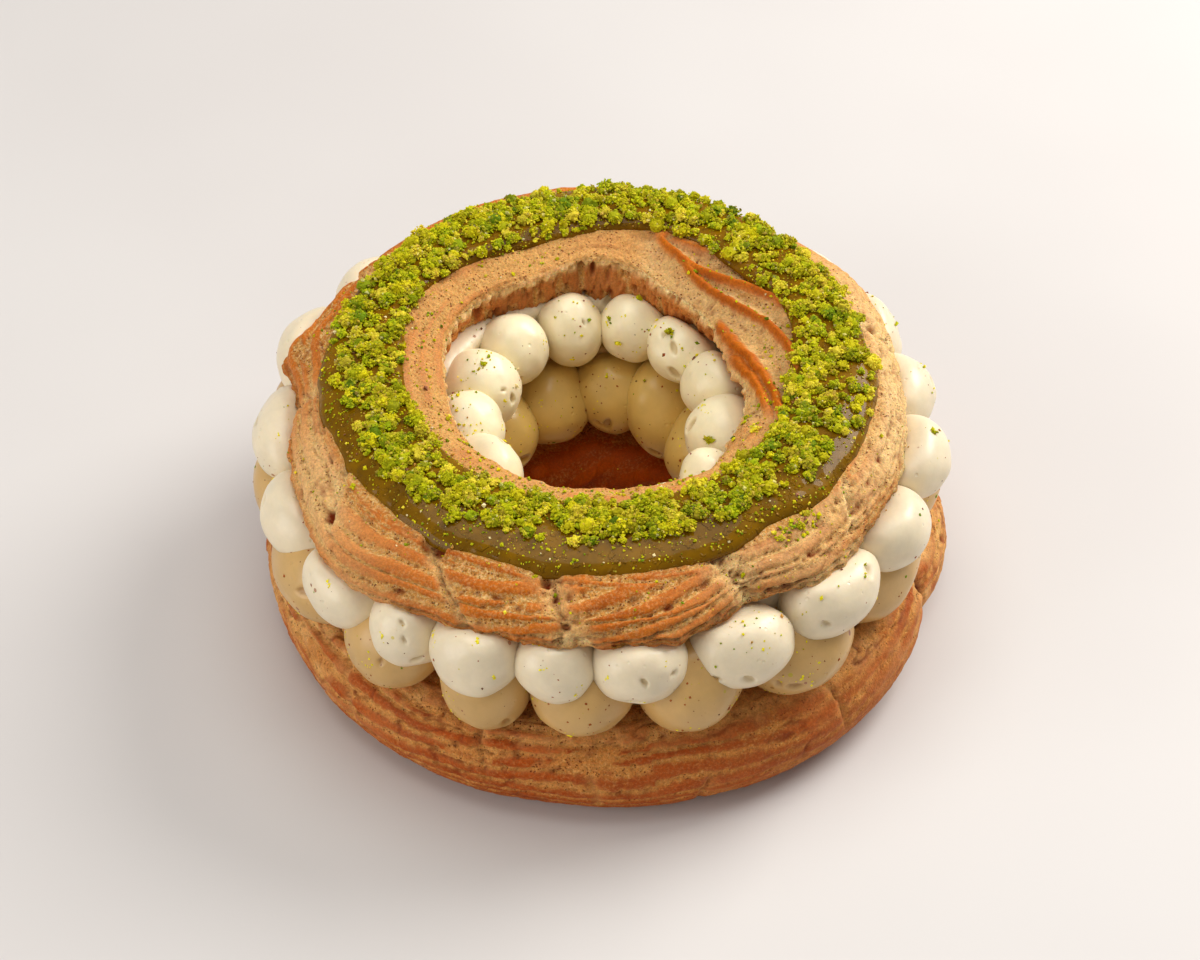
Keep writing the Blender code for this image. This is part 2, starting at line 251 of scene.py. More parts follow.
def chance_of(cells, seed):
    """A repeatable number from 0 to 1 for each whole-number cell."""
    mixed = cells[..., 0] * 73856093 ^ cells[..., 1] * 19349663 ^ cells[..., 2] * 83492791
    mixed = (mixed ^ seed * 2654435761) & 0xFFFFFFFF
    mixed = ((mixed ^ (mixed >> 15)) * 2246822519) & 0xFFFFFFFF
    mixed = ((mixed ^ (mixed >> 13)) * 3266489917) & 0xFFFFFFFF
    return ((mixed ^ (mixed >> 16)) & 0xFFFFFF) / 0xFFFFFF


def waves(points, size, seed):
    """Smooth noise from -1 to 1 whose lumps are about as large as size."""
    scaled = points / size
    cells = np.floor(scaled).astype(np.int64)
    share = scaled - cells
    share = share * share * share * (share * (share * 6 - 15) + 10)
    total = 0.0
    for corner in range(8):
        step = np.array([corner & 1, corner >> 1 & 1, corner >> 2 & 1])
        weight = np.prod(np.where(step, share, 1 - share), axis=-1)
        total = total + weight * chance_of(cells + step, seed)
    return total * 2 - 1


def rough(points, size, seed, octaves=3):
    """Noise with finer noise on it, from about -1 to 1."""
    total = 0.0
    for octave in range(octaves):
        total = total + waves(points, size / 2**octave, seed + octave) / 2**octave
    return total / (2 - 0.5 ** (octaves - 1))


def bubbles(points, size, seed, share=1.0):
    """1 at the middle of a bubble and 0 outside it; share says how many of the cells hold one."""
    scaled = points / size
    cells = np.floor(scaled).astype(np.int64)
    depth = np.zeros(len(points))
    for x in (-1, 0, 1):
        for y in (-1, 0, 1):
            for z in (-1, 0, 1):
                cell = cells + (x, y, z)
                middle = [chance_of(cell, seed + i) for i in (0, 1, 2)]
                away = scaled - cell - np.stack(middle, axis=-1)
                reach = 0.25 + 0.4 * chance_of(cell, seed + 3)
                reach = np.where(chance_of(cell, seed + 4) < share, reach, 1e-6)
                near = 1 - (away**2).sum(axis=-1) / reach**2
                depth = np.maximum(depth, near)
    return depth


def lumps_at(azimuth, lumps):
    """The sum at each azimuth, in degrees, of lumps that fade out on both sides."""
    total = np.zeros_like(azimuth)
    for centre, half_width, height in lumps:
        total += height * np.exp(-((turned_from(azimuth, centre) / half_width) ** 2))
    return total


def turned_from(azimuth, centre):
    """Degrees from one azimuth to another, from -180 to 180."""
    return (azimuth - centre + 180.0) % 360.0 - 180.0


def ring_places(azimuth, along, stretch, radius=80 * MM):
    """Places for noise that is drawn out round the ring, without a seam."""
    angle = np.radians(azimuth)
    reach = radius / stretch
    return np.stack([reach * np.cos(angle), reach * np.sin(angle), along], axis=-1)


# ---------------------------------------------------------------- meshes


def arc(centre, reach, start, end, points):
    """Points on part of an ellipse, from one angle to another in degrees."""
    angles = np.radians(np.linspace(start, end, points))
    across = centre[0] + reach[0] * np.cos(angles)
    return np.stack([across, centre[1] + reach[1] * np.sin(angles)], axis=-1)


def line(start, end, points):
    """Points from start to end, without the first."""
    return np.linspace(start, end, points + 1)[1:]


def lengths(section):
    """The distance along a section of each of its points."""
    steps = np.linalg.norm(np.diff(section, axis=0), axis=1)
    return np.concatenate([[0.0], np.cumsum(steps)])


def turned_mesh(name, section, steps):
    """A closed section turned once round the ring's axis. Its points keep how far along it they are."""
    bm = bmesh.new()
    layer = bm.verts.layers.float.new("along")
    outline = []
    for (radius, height), place in zip(section, lengths(section)):
        vertex = bm.verts.new((radius, 0.0, height))
        vertex[layer] = place
        outline.append(vertex)
    edges = [bm.edges.new(pair) for pair in zip(outline, outline[1:] + outline[:1])]
    bmesh.ops.spin(
        bm,
        geom=outline + edges,
        cent=(0, 0, 0),
        axis=(0, 0, 1),
        angle=2 * math.pi,
        steps=steps // TURN_CUTS,
        use_merge=True,
    )
    hoops = [edge for edge in bm.edges if edge.verts[0][layer] == edge.verts[1][layer]]
    bmesh.ops.subdivide_edges(bm, edges=hoops, cuts=TURN_CUTS - 1, use_grid_fill=True)
    bmesh.ops.recalc_face_normals(bm, faces=bm.faces)
    mesh = bpy.data.meshes.new(name)
    bm.to_mesh(mesh)
    bm.free()
    return mesh


def read(mesh, what="co", width=3):
    """The vertices' places or normals, as an array."""
    values = np.empty(len(mesh.vertices) * width, np.float32)
    mesh.vertices.foreach_get(what, values)
    return values.reshape(-1, width).astype(np.float64)


def move(mesh, places):
    mesh.vertices.foreach_set("co", places.astype(np.float32).ravel())
    mesh.update()


def named_values(mesh, name):
    values = np.empty(len(mesh.vertices), np.float32)
    mesh.attributes[name].data.foreach_get("value", values)
    return values.astype(np.float64)


def store(mesh, name, values, most=1.0):
    attribute = mesh.attributes.new(name, "FLOAT", "POINT")
    attribute.data.foreach_set("value", np.clip(values, 0, most).astype(np.float32))


def ring_coordinates(mesh, section):
    """Radius, azimuth in degrees, height and distance along the section of each vertex."""
    places = read(mesh)
    azimuth = np.degrees(np.arctan2(places[:, 1], places[:, 0])) % 360.0
    along = named_values(mesh, "along")
    radius = np.interp(along, lengths(section), section[:, 0])
    return radius, azimuth, np.interp(along, lengths(section), section[:, 1]), along


def ring_point(radius, azimuth, height, tilt=0.0, offset=0.0):
    """Places in the object's frame from places round the ring."""
    angle = np.radians(azimuth)
    depth = radius * np.sin(angle)
    return AXIS + np.stack([radius * np.cos(angle) + offset, depth, height + tilt * depth], axis=-1)


def piece(name, mesh, material, node):
    """An object of the part: smooth, on the one body, in place of a node of the model."""
    for other in [mesh.attributes[n] for n in ("along",) if n in mesh.attributes]:
        mesh.attributes.remove(other)
    mesh.polygons.foreach_set("use_smooth", np.ones(len(mesh.polygons), bool))
    obj = bpy.data.objects.new(name, mesh)
    bpy.context.scene.collection.objects.link(obj)
    mesh.materials.append(material)
    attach(obj, "root")
    if node:
        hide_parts(node)
    return obj


# ---------------------------------------------------------------- crusts


def crack_depths(azimuth, along, radius, cracks, seed):
    """How deep the cracks are at each place, which block between cracks it is on, and how much it
    is torn beside them."""
    places = ring_places(azimuth, along, 1.0)
    wander = 1.5 * MM * rough(places, 5 * MM, seed) + 0.7 * MM * rough(places, 1.6 * MM, seed + 5)
    depth = np.zeros_like(azimuth)
    block = np.zeros_like(azimuth)
    tear = np.zeros_like(azimuth)
    for index, crack in enumerate(cracks):
        span = crack.other_along - crack.along
        share = (along - crack.along) / span
        centre = crack.azimuth + turned_from(crack.other_azimuth, crack.azimuth) * share
        away = np.radians(turned_from(azimuth, centre)) * radius + wander
        inside = smooth(-0.12, 0.05, share) * smooth(1.12, 0.95, share)
        width = crack.half_width * (1 + 0.6 * rough(places, 3 * MM, seed + 9 + index))
        depth = np.maximum(depth, crack.depth * inside * np.exp(-np.abs(away / width) ** 1.5))
        tear = np.maximum(tear, inside * np.exp(-((away / (2.6 * width)) ** 2)))
        block = block + (away > 0) * inside * (1 + index * 0.37)
    return depth, block, tear


def bars(phase, fill, edge=0.15):
    """The height, from 0 to 1, of flat-topped bars; fill is the share of the spacing they take."""
    swing = 0.5 + 0.5 * np.cos(2 * np.pi * phase)
    return smooth(1 - fill - edge, 1 - fill + edge, swing) * (0.55 + 0.45 * swing)


def wrinkles(azimuth, along, size, seed):
    """1 along thin wandering lines that run mostly round the ring, and 0 away from them."""
    places = ring_places(azimuth, along, 2.2)
    return smooth(0.09, 0.0, np.abs(rough(places, size, seed))) * smooth(-0.2, 0.2, rough(places, 2 * size, seed + 4))


def unbroken(phase, around, seed, share):
    """1 where a bar is whole and 0 where a stretch of it is torn away."""
    row = np.floor(phase + 0.5)
    cells = np.stack([row, np.floor(around + 0.37 * row), np.zeros_like(row)], axis=-1)
    return chance_of(cells.astype(np.int64), seed) < share


def lid_section():
    """The lid's section from the rim over the crown, down the hole's wall and back underneath,
    and the indices of its points at the glaze's middle, the hole's edge and the wall's foot."""
    outer_reach = (LID_RIM_RADIUS - LID_CROWN_RADIUS, LID_CROWN_HEIGHT - LID_RIM_HEIGHT)
    inner_reach = (LID_CROWN_RADIUS - LID_HOLE_RADIUS, LID_CROWN_HEIGHT - LID_HOLE_EDGE_HEIGHT)
    outer = arc((LID_CROWN_RADIUS, LID_RIM_HEIGHT), outer_reach, 0, 56, 38)
    hidden = arc((LID_CROWN_RADIUS, LID_RIM_HEIGHT), outer_reach, 60, 88, 5)
    inner_centre = (LID_CROWN_RADIUS, LID_HOLE_EDGE_HEIGHT)
    crown = arc(inner_centre, inner_reach, 92, 108, 3)
    inner = arc(inner_centre, inner_reach, 111, 180, 42)
    wall = line(inner[-1], (LID_SEAT_INNER, LID_UNDERSIDE), 17)
    under = line(wall[-1], (LID_SEAT_OUTER, LID_UNDERSIDE), 8)
    rim = arc((LID_SEAT_OUTER + 0.8 * MM, LID_RIM_HEIGHT), (2.2 * MM, 2.0 * MM), -80, -12, 5)
    section = np.concatenate([outer, hidden, crown, inner, wall, under, rim])
    top = len(outer) + len(hidden)
    edge = top + len(crown) + len(inner) - 1
    return section, top, edge, edge + len(wall)


def front_reach(azimuth, radius):
    """How far the lid is drawn out towards the front."""
    outward = np.clip((radius - LID_CROWN_RADIUS) / (LID_RIM_RADIUS - LID_CROWN_RADIUS), 0, 1.1)
    return FRONT_REACH * np.maximum(0.0, -np.sin(np.radians(azimuth))) * outward**4


def lid_top(radius):
    """The height of the smooth lid at each radius."""
    outside = radius > LID_CROWN_RADIUS
    edge = np.where(outside, LID_RIM_HEIGHT, LID_HOLE_EDGE_HEIGHT)
    to_rim = (radius - LID_CROWN_RADIUS) / (LID_RIM_RADIUS - LID_CROWN_RADIUS)
    to_hole = (LID_CROWN_RADIUS - radius) / (LID_CROWN_RADIUS - LID_HOLE_RADIUS)
    share = np.where(outside, to_rim, to_hole)
    return edge + (LID_CROWN_HEIGHT - edge) * np.sqrt(np.maximum(0.0, 1.0 - share**2))


def crest_heights(azimuth, radius, wander):
    """The crests that fan round the right of the hole: their height, which falls away slowly on the
    outer side, how near each place is to a crest's line, and how far their field reaches."""
    height = np.zeros_like(azimuth)
    near = np.zeros_like(azimuth)
    here = turned_from(azimuth, CREST_MIDDLE)
    for points in LID_CRESTS:
        knots = np.array([turned_from(a, CREST_MIDDLE) for a, _ in points])
        curve = np.polyfit(knots, np.array([r for _, r in points]) * MM, 3)
        away = radius + wander - np.polyval(curve, here)
        inside = smooth(knots.min() - 7, knots.min() + 3, here)
        inside = inside * smooth(knots.max() + 5, knots.max() - 5, here)
        sharp = np.exp(-((away / CREST_WIDTH) ** 2))
        behind = 0.6 * np.clip(1 - away / CREST_BACK, 0, 1) ** 1.5 * smooth(-0.4 * MM, 0.2 * MM, away)
        height = np.maximum(height, inside * np.maximum(sharp, behind))
        near = np.maximum(near, inside * smooth(0.10, 0.75, sharp))
    return height, near, smooth(-72, -58, here) * smooth(40, 30, here)


def lid_hollows(azimuth, along, radius, places):
    """How deep the open hollows in the lid's outer side are."""
    depth = np.zeros_like(azimuth)
    ragged = 0.9 * MM * rough(places, 2.5 * MM, 51)
    for centre, place, half_width, deep in LID_HOLLOWS:
        across = np.radians(turned_from(azimuth, centre)) * radius
        away = np.hypot(across, along - place) + ragged
        depth = np.maximum(depth, deep * smooth(1.3 * half_width, 0.4 * half_width, away))
    return depth


def make_lid(material):
    section, top_index, edge_index, foot_index = lid_section()
    mesh = turned_mesh("lid_crust_baked", section, LID_STEPS)
    radius, azimuth, height, along = ring_coordinates(mesh, section)
    marks = lengths(section)
    total, hidden, hole_edge, wall_foot = marks[-1], marks[top_index], marks[edge_index], marks[foot_index]
    outward = np.clip((radius - LID_CROWN_RADIUS) / (LID_RIM_RADIUS - LID_CROWN_RADIUS), 0, 1)
    inward = np.clip((LID_CROWN_RADIUS - radius) / (LID_CROWN_RADIUS - LID_HOLE_RADIUS), 0, 1)
    round_ring = ring_places(azimuth, np.zeros_like(azimuth), 1.0)
    shaped = radius + outward**2 * (lumps_at(azimuth, RIM_LUMPS) + 0.8 * MM * rough(round_ring, 15 * MM, 29))
    shaped = shaped + inward**2 * (lumps_at(azimuth, HOLE_LUMPS) + 0.8 * MM * rough(round_ring, 9 * MM, 28))
    # At the back the top runs flat to a sharp edge, and the wall below it stands upright.
    to_edge = smooth(hidden + 12 * MM, hole_edge, along) * smooth(wall_foot, hole_edge, along)
    height = height + lumps_at(azimuth, WALL_LIFT) * to_edge**1.5
    shaped = shaped + lumps_at(azimuth, WALL_FOOT) * smooth(hole_edge, wall_foot, along) * (
        along < (wall_foot + total) / 2
    )
    reach = front_reach(azimuth, radius)
    drawn_out = np.stack([0 * reach, -reach, FRONT_RISE * reach], axis=-1)
    move(mesh, ring_point(shaped, azimuth, height, LID_TILT) + drawn_out)
    normals = read(mesh, "normal")
    places = read(mesh)

    # The rim's own lower edge counts backwards from the rim.
    along = np.where(along > (wall_foot + total) / 2, along - total - 1 * MM, along)
    on_rim = smooth(19 * MM, 16 * MM, along) * smooth(-5 * MM, -1 * MM, along)
    on_inside = smooth(hidden, hidden + 6 * MM, along) * smooth(hole_edge + 3 * MM, hole_edge, along)
    on_wall = smooth(hole_edge - 1 * MM, hole_edge + 1.0 * MM, along) * (along < wall_foot + 1 * MM)

    depth, block, tear = crack_depths(azimuth, along, radius, LID_CRACKS, 21)
    drawn = ring_places(azimuth, along, 4.0)
    even = ring_places(azimuth, along, 1.0)
    fine = rough(even, 1.5 * MM, 59, 2)
    coarse = rough(even, 4 * MM, 34)
    climb = LID_BAR_CLIMB * smooth(*LID_CLIMB_AZIMUTHS, azimuth)
    phase = (along - climb) / LID_BAR_SPACING + 0.30 * block + 0.34 * rough(drawn, 9 * MM, 31) + 0.07 * fine
    fill = 0.70 + 0.16 * rough(drawn, 7 * MM, 32) + 0.12 * coarse + lumps_at(azimuth, BAR_FILL)
    bar = bars(phase, fill, 0.18)
    around = np.radians(azimuth) * radius / (8.5 * MM) + 0.45 * coarse + 0.12 * fine
    whole = unbroken(phase, around, 33, 0.86) + (lumps_at(azimuth, BAR_FILL) > 0.05)
    pale_side = lumps_at(azimuth, LID_PALE)
    bar = bar * np.where(whole, 1.0, 0.15) * (1 - 0.9 * tear) * (1 - 0.5 * pale_side)

    crest, crest_line, field = crest_heights(azimuth, shaped, (0.5 * coarse + 0.25 * fine) * MM)
    field = field * on_inside
    inside_phase = along / (5.5 * MM) + 0.6 * rough(drawn, 10 * MM, 35) + 0.06 * fine
    inside_bar = bars(inside_phase, 0.55) * (1 - field) * smooth(-0.3, 0.2, rough(drawn, 9 * MM, 36))

    pores = bubbles(even, 1.5 * MM, 41, 0.6)
    pits = np.maximum(bubbles(even, 4.2 * MM, 45, 0.32), 0.55 * bubbles(even, 2.0 * MM, 49, 0.5))
    valley = on_rim * (1 - bar) + on_inside * (1 - np.maximum(inside_bar, crest_line)) * 0.5
    cut = np.maximum(depth, lid_hollows(azimuth, along, radius, even))

    lift = on_rim * LID_BAR_HEIGHT * bar * smooth(1.5 * MM, 0.2 * MM, cut)
    lift += on_inside * 0.4 * MM * inside_bar + field * CREST_HEIGHT * (crest - 0.35)
    lift += 0.8 * MM * rough(even, 14 * MM, 52) * (on_rim + on_inside)
    lift += (0.12 + 0.30 * (valley + tear)) * MM * fine * (on_rim + on_inside + on_wall)
    lift -= cut + valley * MM * (0.5 * pores + 0.6 * pits) + tear * on_rim * MM * (0.5 + 1.1 * pits - 0.9 * coarse)
    lift -= on_wall * (2.4 * MM * pits - 1.3 * MM * coarse)
    wrinkle = on_rim * wrinkles(azimuth, along, 5 * MM, 65) * (1 - 0.5 * bar)
    lift -= 0.4 * MM * wrinkle
    ragged = np.exp(-(((along - hole_edge) / (1.3 * MM)) ** 2))
    lift += ragged * 1.2 * MM * rough(even, 2.8 * MM, 55)
    rim_edge = np.exp(-((along / (2.2 * MM)) ** 2))
    lift += rim_edge * (1.6 * MM * rough(even, 4.5 * MM, 56) + 0.9 * MM * (bar - 0.6))
    moved = places + normals * lift[:, None]
    torn_foot = smooth(hole_edge + 2 * MM, wall_foot, along) * (along < wall_foot + 0.5 * MM)
    moved[:, 2] += torn_foot * 2.6 * MM * rough(even, 5 * MM, 57)
    moved[:, 2] += rim_edge * 1.2 * MM * rough(round_ring, 5 * MM, 58)
    move(mesh, moved)

    flush = 0.42 * on_inside * smooth(-0.5, 0.5, rough(drawn, 9 * MM, 60) + 0.3 * coarse)
    # The torn wall of the hole is painted deep orange, partly its browned colour and partly painted shade with an
    # orange glow.
    flush = flush + 1.1 * on_wall * smooth(-0.5, 0.2, coarse)
    streaks = smooth(0.25, 0.6, rough(ring_places(azimuth, along, 7.0), 3 * MM, 66))
    crest_mask = np.maximum(on_inside * inside_bar * 0.7, 1.6 * crest_line * field)
    store(mesh, "crest", np.maximum(np.maximum(on_rim * bar, flush), crest_mask), 1.6)
    store(mesh, "calm", on_inside * (1 - field) + on_rim * 1.5 * np.clip(lumps_at(azimuth, BAR_FILL), 0, 1))
    # Painted shade: cracks, hollows, pores, valleys, wrinkles and the torn wall take the Pit Colour, more where a cut
    # is deeper.
    pit_shade = smooth(0.8 * MM, 2.6 * MM, cut) + 0.6 * valley * pores
    pit_shade = pit_shade + (0.7 * on_wall + (0.7 * tear + 0.6 * valley) * on_rim + 0.8 * field * valley) * smooth(0.2, 0.9, pits)
    store(mesh, "pit_shade", pit_shade + 0.5 * wrinkle + 0.5 * field * (1 - crest_line) * streaks)
    pale = field * (1 - crest_line) * (0.45 + 0.3 * rough(drawn, 4 * MM, 67)) + 0.15 * on_wall + 0.22 * on_inside * (1 - field) + 0.6 * ragged + 0.6 * rim_edge * (1 - bar) + 0.45 * tear
    pale = pale + 0.75 * on_rim * pale_side * smooth(-0.7, 0.2, rough(drawn, 9 * MM, 62))
    store(mesh, "torn", pale)
    return piece("lid_crust_baked", mesh, material, "lid_crust")


def base_section():
    """The base's section from the foot up the outer side, over the top and down the inner side."""
    half_outer = BASE_SHOULDER_HEIGHT / 2
    half_inner = BASE_LIP_HEIGHT / 2
    outer_reach = (BASE_OUTER_RADIUS - BASE_FOOT_OUTER, half_outer)
    inner_reach = (BASE_FOOT_INNER - BASE_INNER_RADIUS, half_inner)
    outer = arc((BASE_FOOT_OUTER, half_outer), outer_reach, -90, 90, 68)
    top = line(outer[-1], (BASE_FOOT_OUTER - 5 * MM, BASE_SHOULDER_HEIGHT), 8)
    inner = arc((BASE_FOOT_INNER, half_inner), inner_reach, 90, 270, 32)
    hidden = line(top[-1], inner[0], 7)[:-1]
    foot = line(inner[-1], outer[0], 7)[:-1]
    return np.concatenate([outer, top, hidden, inner, foot]), len(outer) + len(top) + len(hidden)


def make_base(material):
    section, inner_start = base_section()
    mesh = turned_mesh("base_crust_baked", section, BASE_STEPS)
    radius, azimuth, height, along = ring_coordinates(mesh, section)
    middle = (BASE_FOOT_OUTER + BASE_FOOT_INNER) / 2
    outward = np.clip((radius - middle) / (BASE_OUTER_RADIUS - middle), 0, 1)
    low = np.clip(1.0 - height / BASE_LUMP_HEIGHT, 0, 1)
    shaped = radius + outward**3 * low * lumps_at(azimuth, BASE_LUMPS)
    move(mesh, ring_point(shaped, azimuth, height, 0.0, BASE_OFFSET))
    normals = read(mesh, "normal")
    places = read(mesh)

    side = lengths(section)[67]
    inner_from = lengths(section)[inner_start]
    inner_to = lengths(section)[inner_start + 31]
    on_side = smooth(-1 * MM, 1.5 * MM, along) * smooth(side + 6 * MM, side + 1 * MM, along)
    on_inner = smooth(inner_from - 2 * MM, inner_from + 2 * MM, along) * smooth(
        inner_to, inner_to - 2 * MM, along
    )
    depth, block, tear = crack_depths(azimuth, along, radius, BASE_CRACKS, 61)
    drawn = ring_places(azimuth, along, 6.0)
    even = ring_places(azimuth, along, 1.0)
    fine = rough(even, 1.4 * MM, 79, 2)
    coarse = rough(even, 4.5 * MM, 78)
    share = np.clip(along / side, 0.0, 1.3)
    phase = 12.0 * share**0.66 + 0.05 * block + 1.1 * rough(drawn, 12 * MM, 71)
    phase = phase + 0.8 * rough(ring_places(azimuth, along, 2.5), 11 * MM, 80) + 0.11 * fine
    bar = bars(phase, 0.76 + 0.16 * rough(drawn, 8 * MM, 72) + 0.12 * coarse, 0.25)
    around = np.radians(azimuth) * radius / (13 * MM) + 0.6 * coarse + 0.15 * fine
    bar = bar * np.where(unbroken(phase, around, 73, 0.90), 1.0, 0.4) * (1 - 0.25 * tear)
    pores = bubbles(even, 1.4 * MM, 74, 0.55)
    shoulder = smooth(0.78, 0.95, share + 0.08 * coarse)
    bar = bar * (1 - 0.7 * shoulder * smooth(-0.2, 0.3, coarse))
    mottled = 0.70 + 0.34 * rough(drawn, 5 * MM, 82) + 0.25 * coarse
    bar = bar + (np.clip(mottled, 0, 1) - bar) * lumps_at(azimuth, MOTTLED_SIDE)
    valley = on_side * (1 - bar)

    tall = 0.55 * MM + 0.55 * MM * smooth(0.25, 0.8, share)
    lift = on_side * (tall * bar - 0.3 * MM) * smooth(1.2 * MM, 0.2 * MM, depth)
    lift += 0.7 * MM * rough(even, 16 * MM, 75) * (on_side + on_inner)
    lift += (0.10 + 0.25 * (valley + tear)) * MM * fine * (on_side + on_inner)
    wrinkle = on_side * wrinkles(azimuth, along, 6 * MM, 83)
    lift -= 0.45 * MM * wrinkle + 0.15 * MM * on_side * (1 - rough(even, 2.6 * MM, 84))
    lift -= depth + valley * 0.4 * MM * pores + tear * on_side * 0.3 * MM * (1 - coarse)
    folds = bars((along + 9 * MM * np.sin(np.radians(azimuth * 2 + 20))) / (9 * MM), 0.55, 0.3)
    lift += on_inner * 1.4 * MM * folds * smooth(-0.3, 0.3, rough(even, 14 * MM, 77))
    # The foot stays flat on z = 0.
    lift = lift * smooth(0.0, 1.5 * MM, height)
    moved = places + normals * lift[:, None]
    moved[:, 2] = np.maximum(moved[:, 2], 0.0)
    move(mesh, moved)
    store(mesh, "crest", np.maximum(on_side * bar, on_inner * (0.7 + 0.8 * folds)), 1.6)
    # Painted shade: cracks, pores, valleys, wrinkles and the hollows between the inner folds take the Pit Colour.
    rows_of_pits = valley * bubbles(even, 2.6 * MM, 81, 0.35)
    pit_shade = smooth(0.5 * MM, 1.8 * MM, depth) + 0.5 * valley * pores + 0.7 * rows_of_pits
    store(mesh, "pit_shade", pit_shade + 0.6 * wrinkle + 0.2 * on_inner * (1 - folds))
    torn = 0.35 * valley + 0.15 * tear + 0.4 * shoulder + 0.55 * lumps_at(azimuth, BASE_PALE) * smooth(-0.6, 0.4, coarse)
    store(mesh, "torn", on_side * torn)
    return piece("base_crust_baked", mesh, material, "base_crust")


# ---------------------------------------------------------------- cream


def domes_of(row):
    """The domes of a piped row, each a little off its even place."""
    chance = random.Random(row.seed)
    azimuths = []
    for i in range(row.count):
        even = row.first + 360.0 * i / row.count
        drift = sum(s * math.sin(math.radians(t * (even - p))) for t, s, p in row.drift)
        azimuths.append(math.radians(even + drift + TURN_SPREAD * chance.uniform(-1.0, 1.0)))
    found = []
    for i, azimuth in enumerate(azimuths):
        radius = row.radius - row.oval * math.cos(2 * azimuth)
        radius += row.push * max(0.0, -math.sin(azimuth)) ** 2
        radius += PLACE_SPREAD * chance.uniform(-1.0, 1.0)
        height = row.height + PLACE_SPREAD * chance.uniform(-1.0, 1.0)
        size = row.size * (1.0 + SIZE_SPREAD * chance.uniform(-1.0, 1.0))
        room = (azimuths[(i + 1) % row.count] - azimuths[i - 1]) % (2 * math.pi) / 2
        centre = ring_point(radius, math.degrees(azimuth), height, CREAM_TILT)
        across = max(size, 0.52 * room * radius)
        found.append(Dome(centre, azimuth, size, across, DOME_HEIGHT * size, chance.random()))
    return found


def front_sphere():
    """A sphere round its own +Z, with most of its rings on the half that shows."""
    bm = bmesh.new()
    bmesh.ops.create_uvsphere(bm, u_segments=DOME_SEGMENTS, v_segments=DOME_RINGS, radius=1.0)
    bmesh.ops.recalc_face_normals(bm, faces=bm.faces)
    mesh = bpy.data.meshes.new("sphere")
    bm.to_mesh(mesh)
    bm.free()
    places = read(mesh)
    angle = np.arccos(np.clip(places[:, 2], -1, 1))
    ring = angle / math.pi * DOME_RINGS
    front = ring * DOME_FRONT_ANGLE / DOME_FRONT_RINGS
    back = math.pi - (DOME_RINGS - ring) * (math.pi - DOME_FRONT_ANGLE) / (
        DOME_RINGS - DOME_FRONT_RINGS
    )
    angle = np.where(ring < DOME_FRONT_RINGS, front, back)
    turn = np.arctan2(places[:, 1], places[:, 0])
    places = np.stack(
        [np.sin(angle) * np.cos(turn), np.sin(angle) * np.sin(turn), np.cos(angle)], axis=-1
    )
    move(mesh, places)
    return mesh


def dome_surface(dome, directions, inside):
    """Where a dome's surface is in each direction of its own frame, whose Z points away from the cream."""
    sign = -1.0 if inside else 1.0
    outward = np.array([math.cos(dome.azimuth), math.sin(dome.azimuth), 0.0]) * sign
    aside = np.array([-math.sin(dome.azimuth), math.cos(dome.azimuth), 0.0]) * sign
    up = np.array([0.0, 0.0, 1.0])
    x, y, z = directions.T
    chance = random.Random(dome.seed)
    lean = chance.uniform(-0.6, 0.6)
    pear = chance.uniform(-0.14, 0.20)
    long_way = 1.0 + chance.uniform(-0.04, 0.12) + 0.05 * inside
    shift = directions + dome.seed * 50.0
    swell = 1.0 + 0.07 * waves(shift, 1.0, 91) + 0.022 * waves(shift, 0.4, 92)
    radial = z * dome.radial * swell * (1.0 - 0.05 * y)
    # The dome's own long way leans to one side, and it is a little fuller at one end.
    a = (x * math.cos(lean) + y * math.sin(lean)) * swell / long_way
    b = (y * math.cos(lean) - x * math.sin(lean)) * swell * long_way
    a = a * (1.0 - pear * b)
    sideways = (a * math.cos(lean) - b * math.sin(lean)) * dome.across
    upward = (b * math.cos(lean) + a * math.sin(lean)) * dome.height
    return dome.centre + radial[:, None] * outward + sideways[:, None] * aside + upward[:, None] * up


def craters(dome, directions):
    """Dents where bubbles broke at a dome's surface, from 0 to 1."""
    chance = random.Random(int(dome.seed * 1e6))
    depth = np.zeros(len(directions))
    for _ in range(chance.choice((0, 1, 1, 2, 3))):
        lean = chance.uniform(0.15, 0.95)
        turn = chance.uniform(0, 2 * math.pi)
        middle = np.array([math.sin(lean) * math.cos(turn), math.sin(lean) * math.sin(turn), math.cos(lean)])
        reach = chance.uniform(0.05, 0.14)
        long_way = np.cross(middle, (chance.uniform(-1, 1), chance.uniform(-1, 1), 0.3))
        long_way /= np.linalg.norm(long_way)
        away = directions - middle
        along = away @ long_way
        away = np.linalg.norm(away - 0.45 * along[:, None] * long_way, axis=1) / reach
        rim = 0.25 * np.exp(-(((away - 1.15) / 0.25) ** 2))
        depth = np.maximum(depth, smooth(1.1, 0.5, away) * (0.5 + reach * 6)) - rim * 0.5
    return depth


# How far the lid's notches free the domes under them
NOTCH_DEPTH = -1.5 * MM
NOTCH_SLOPE = 0.9


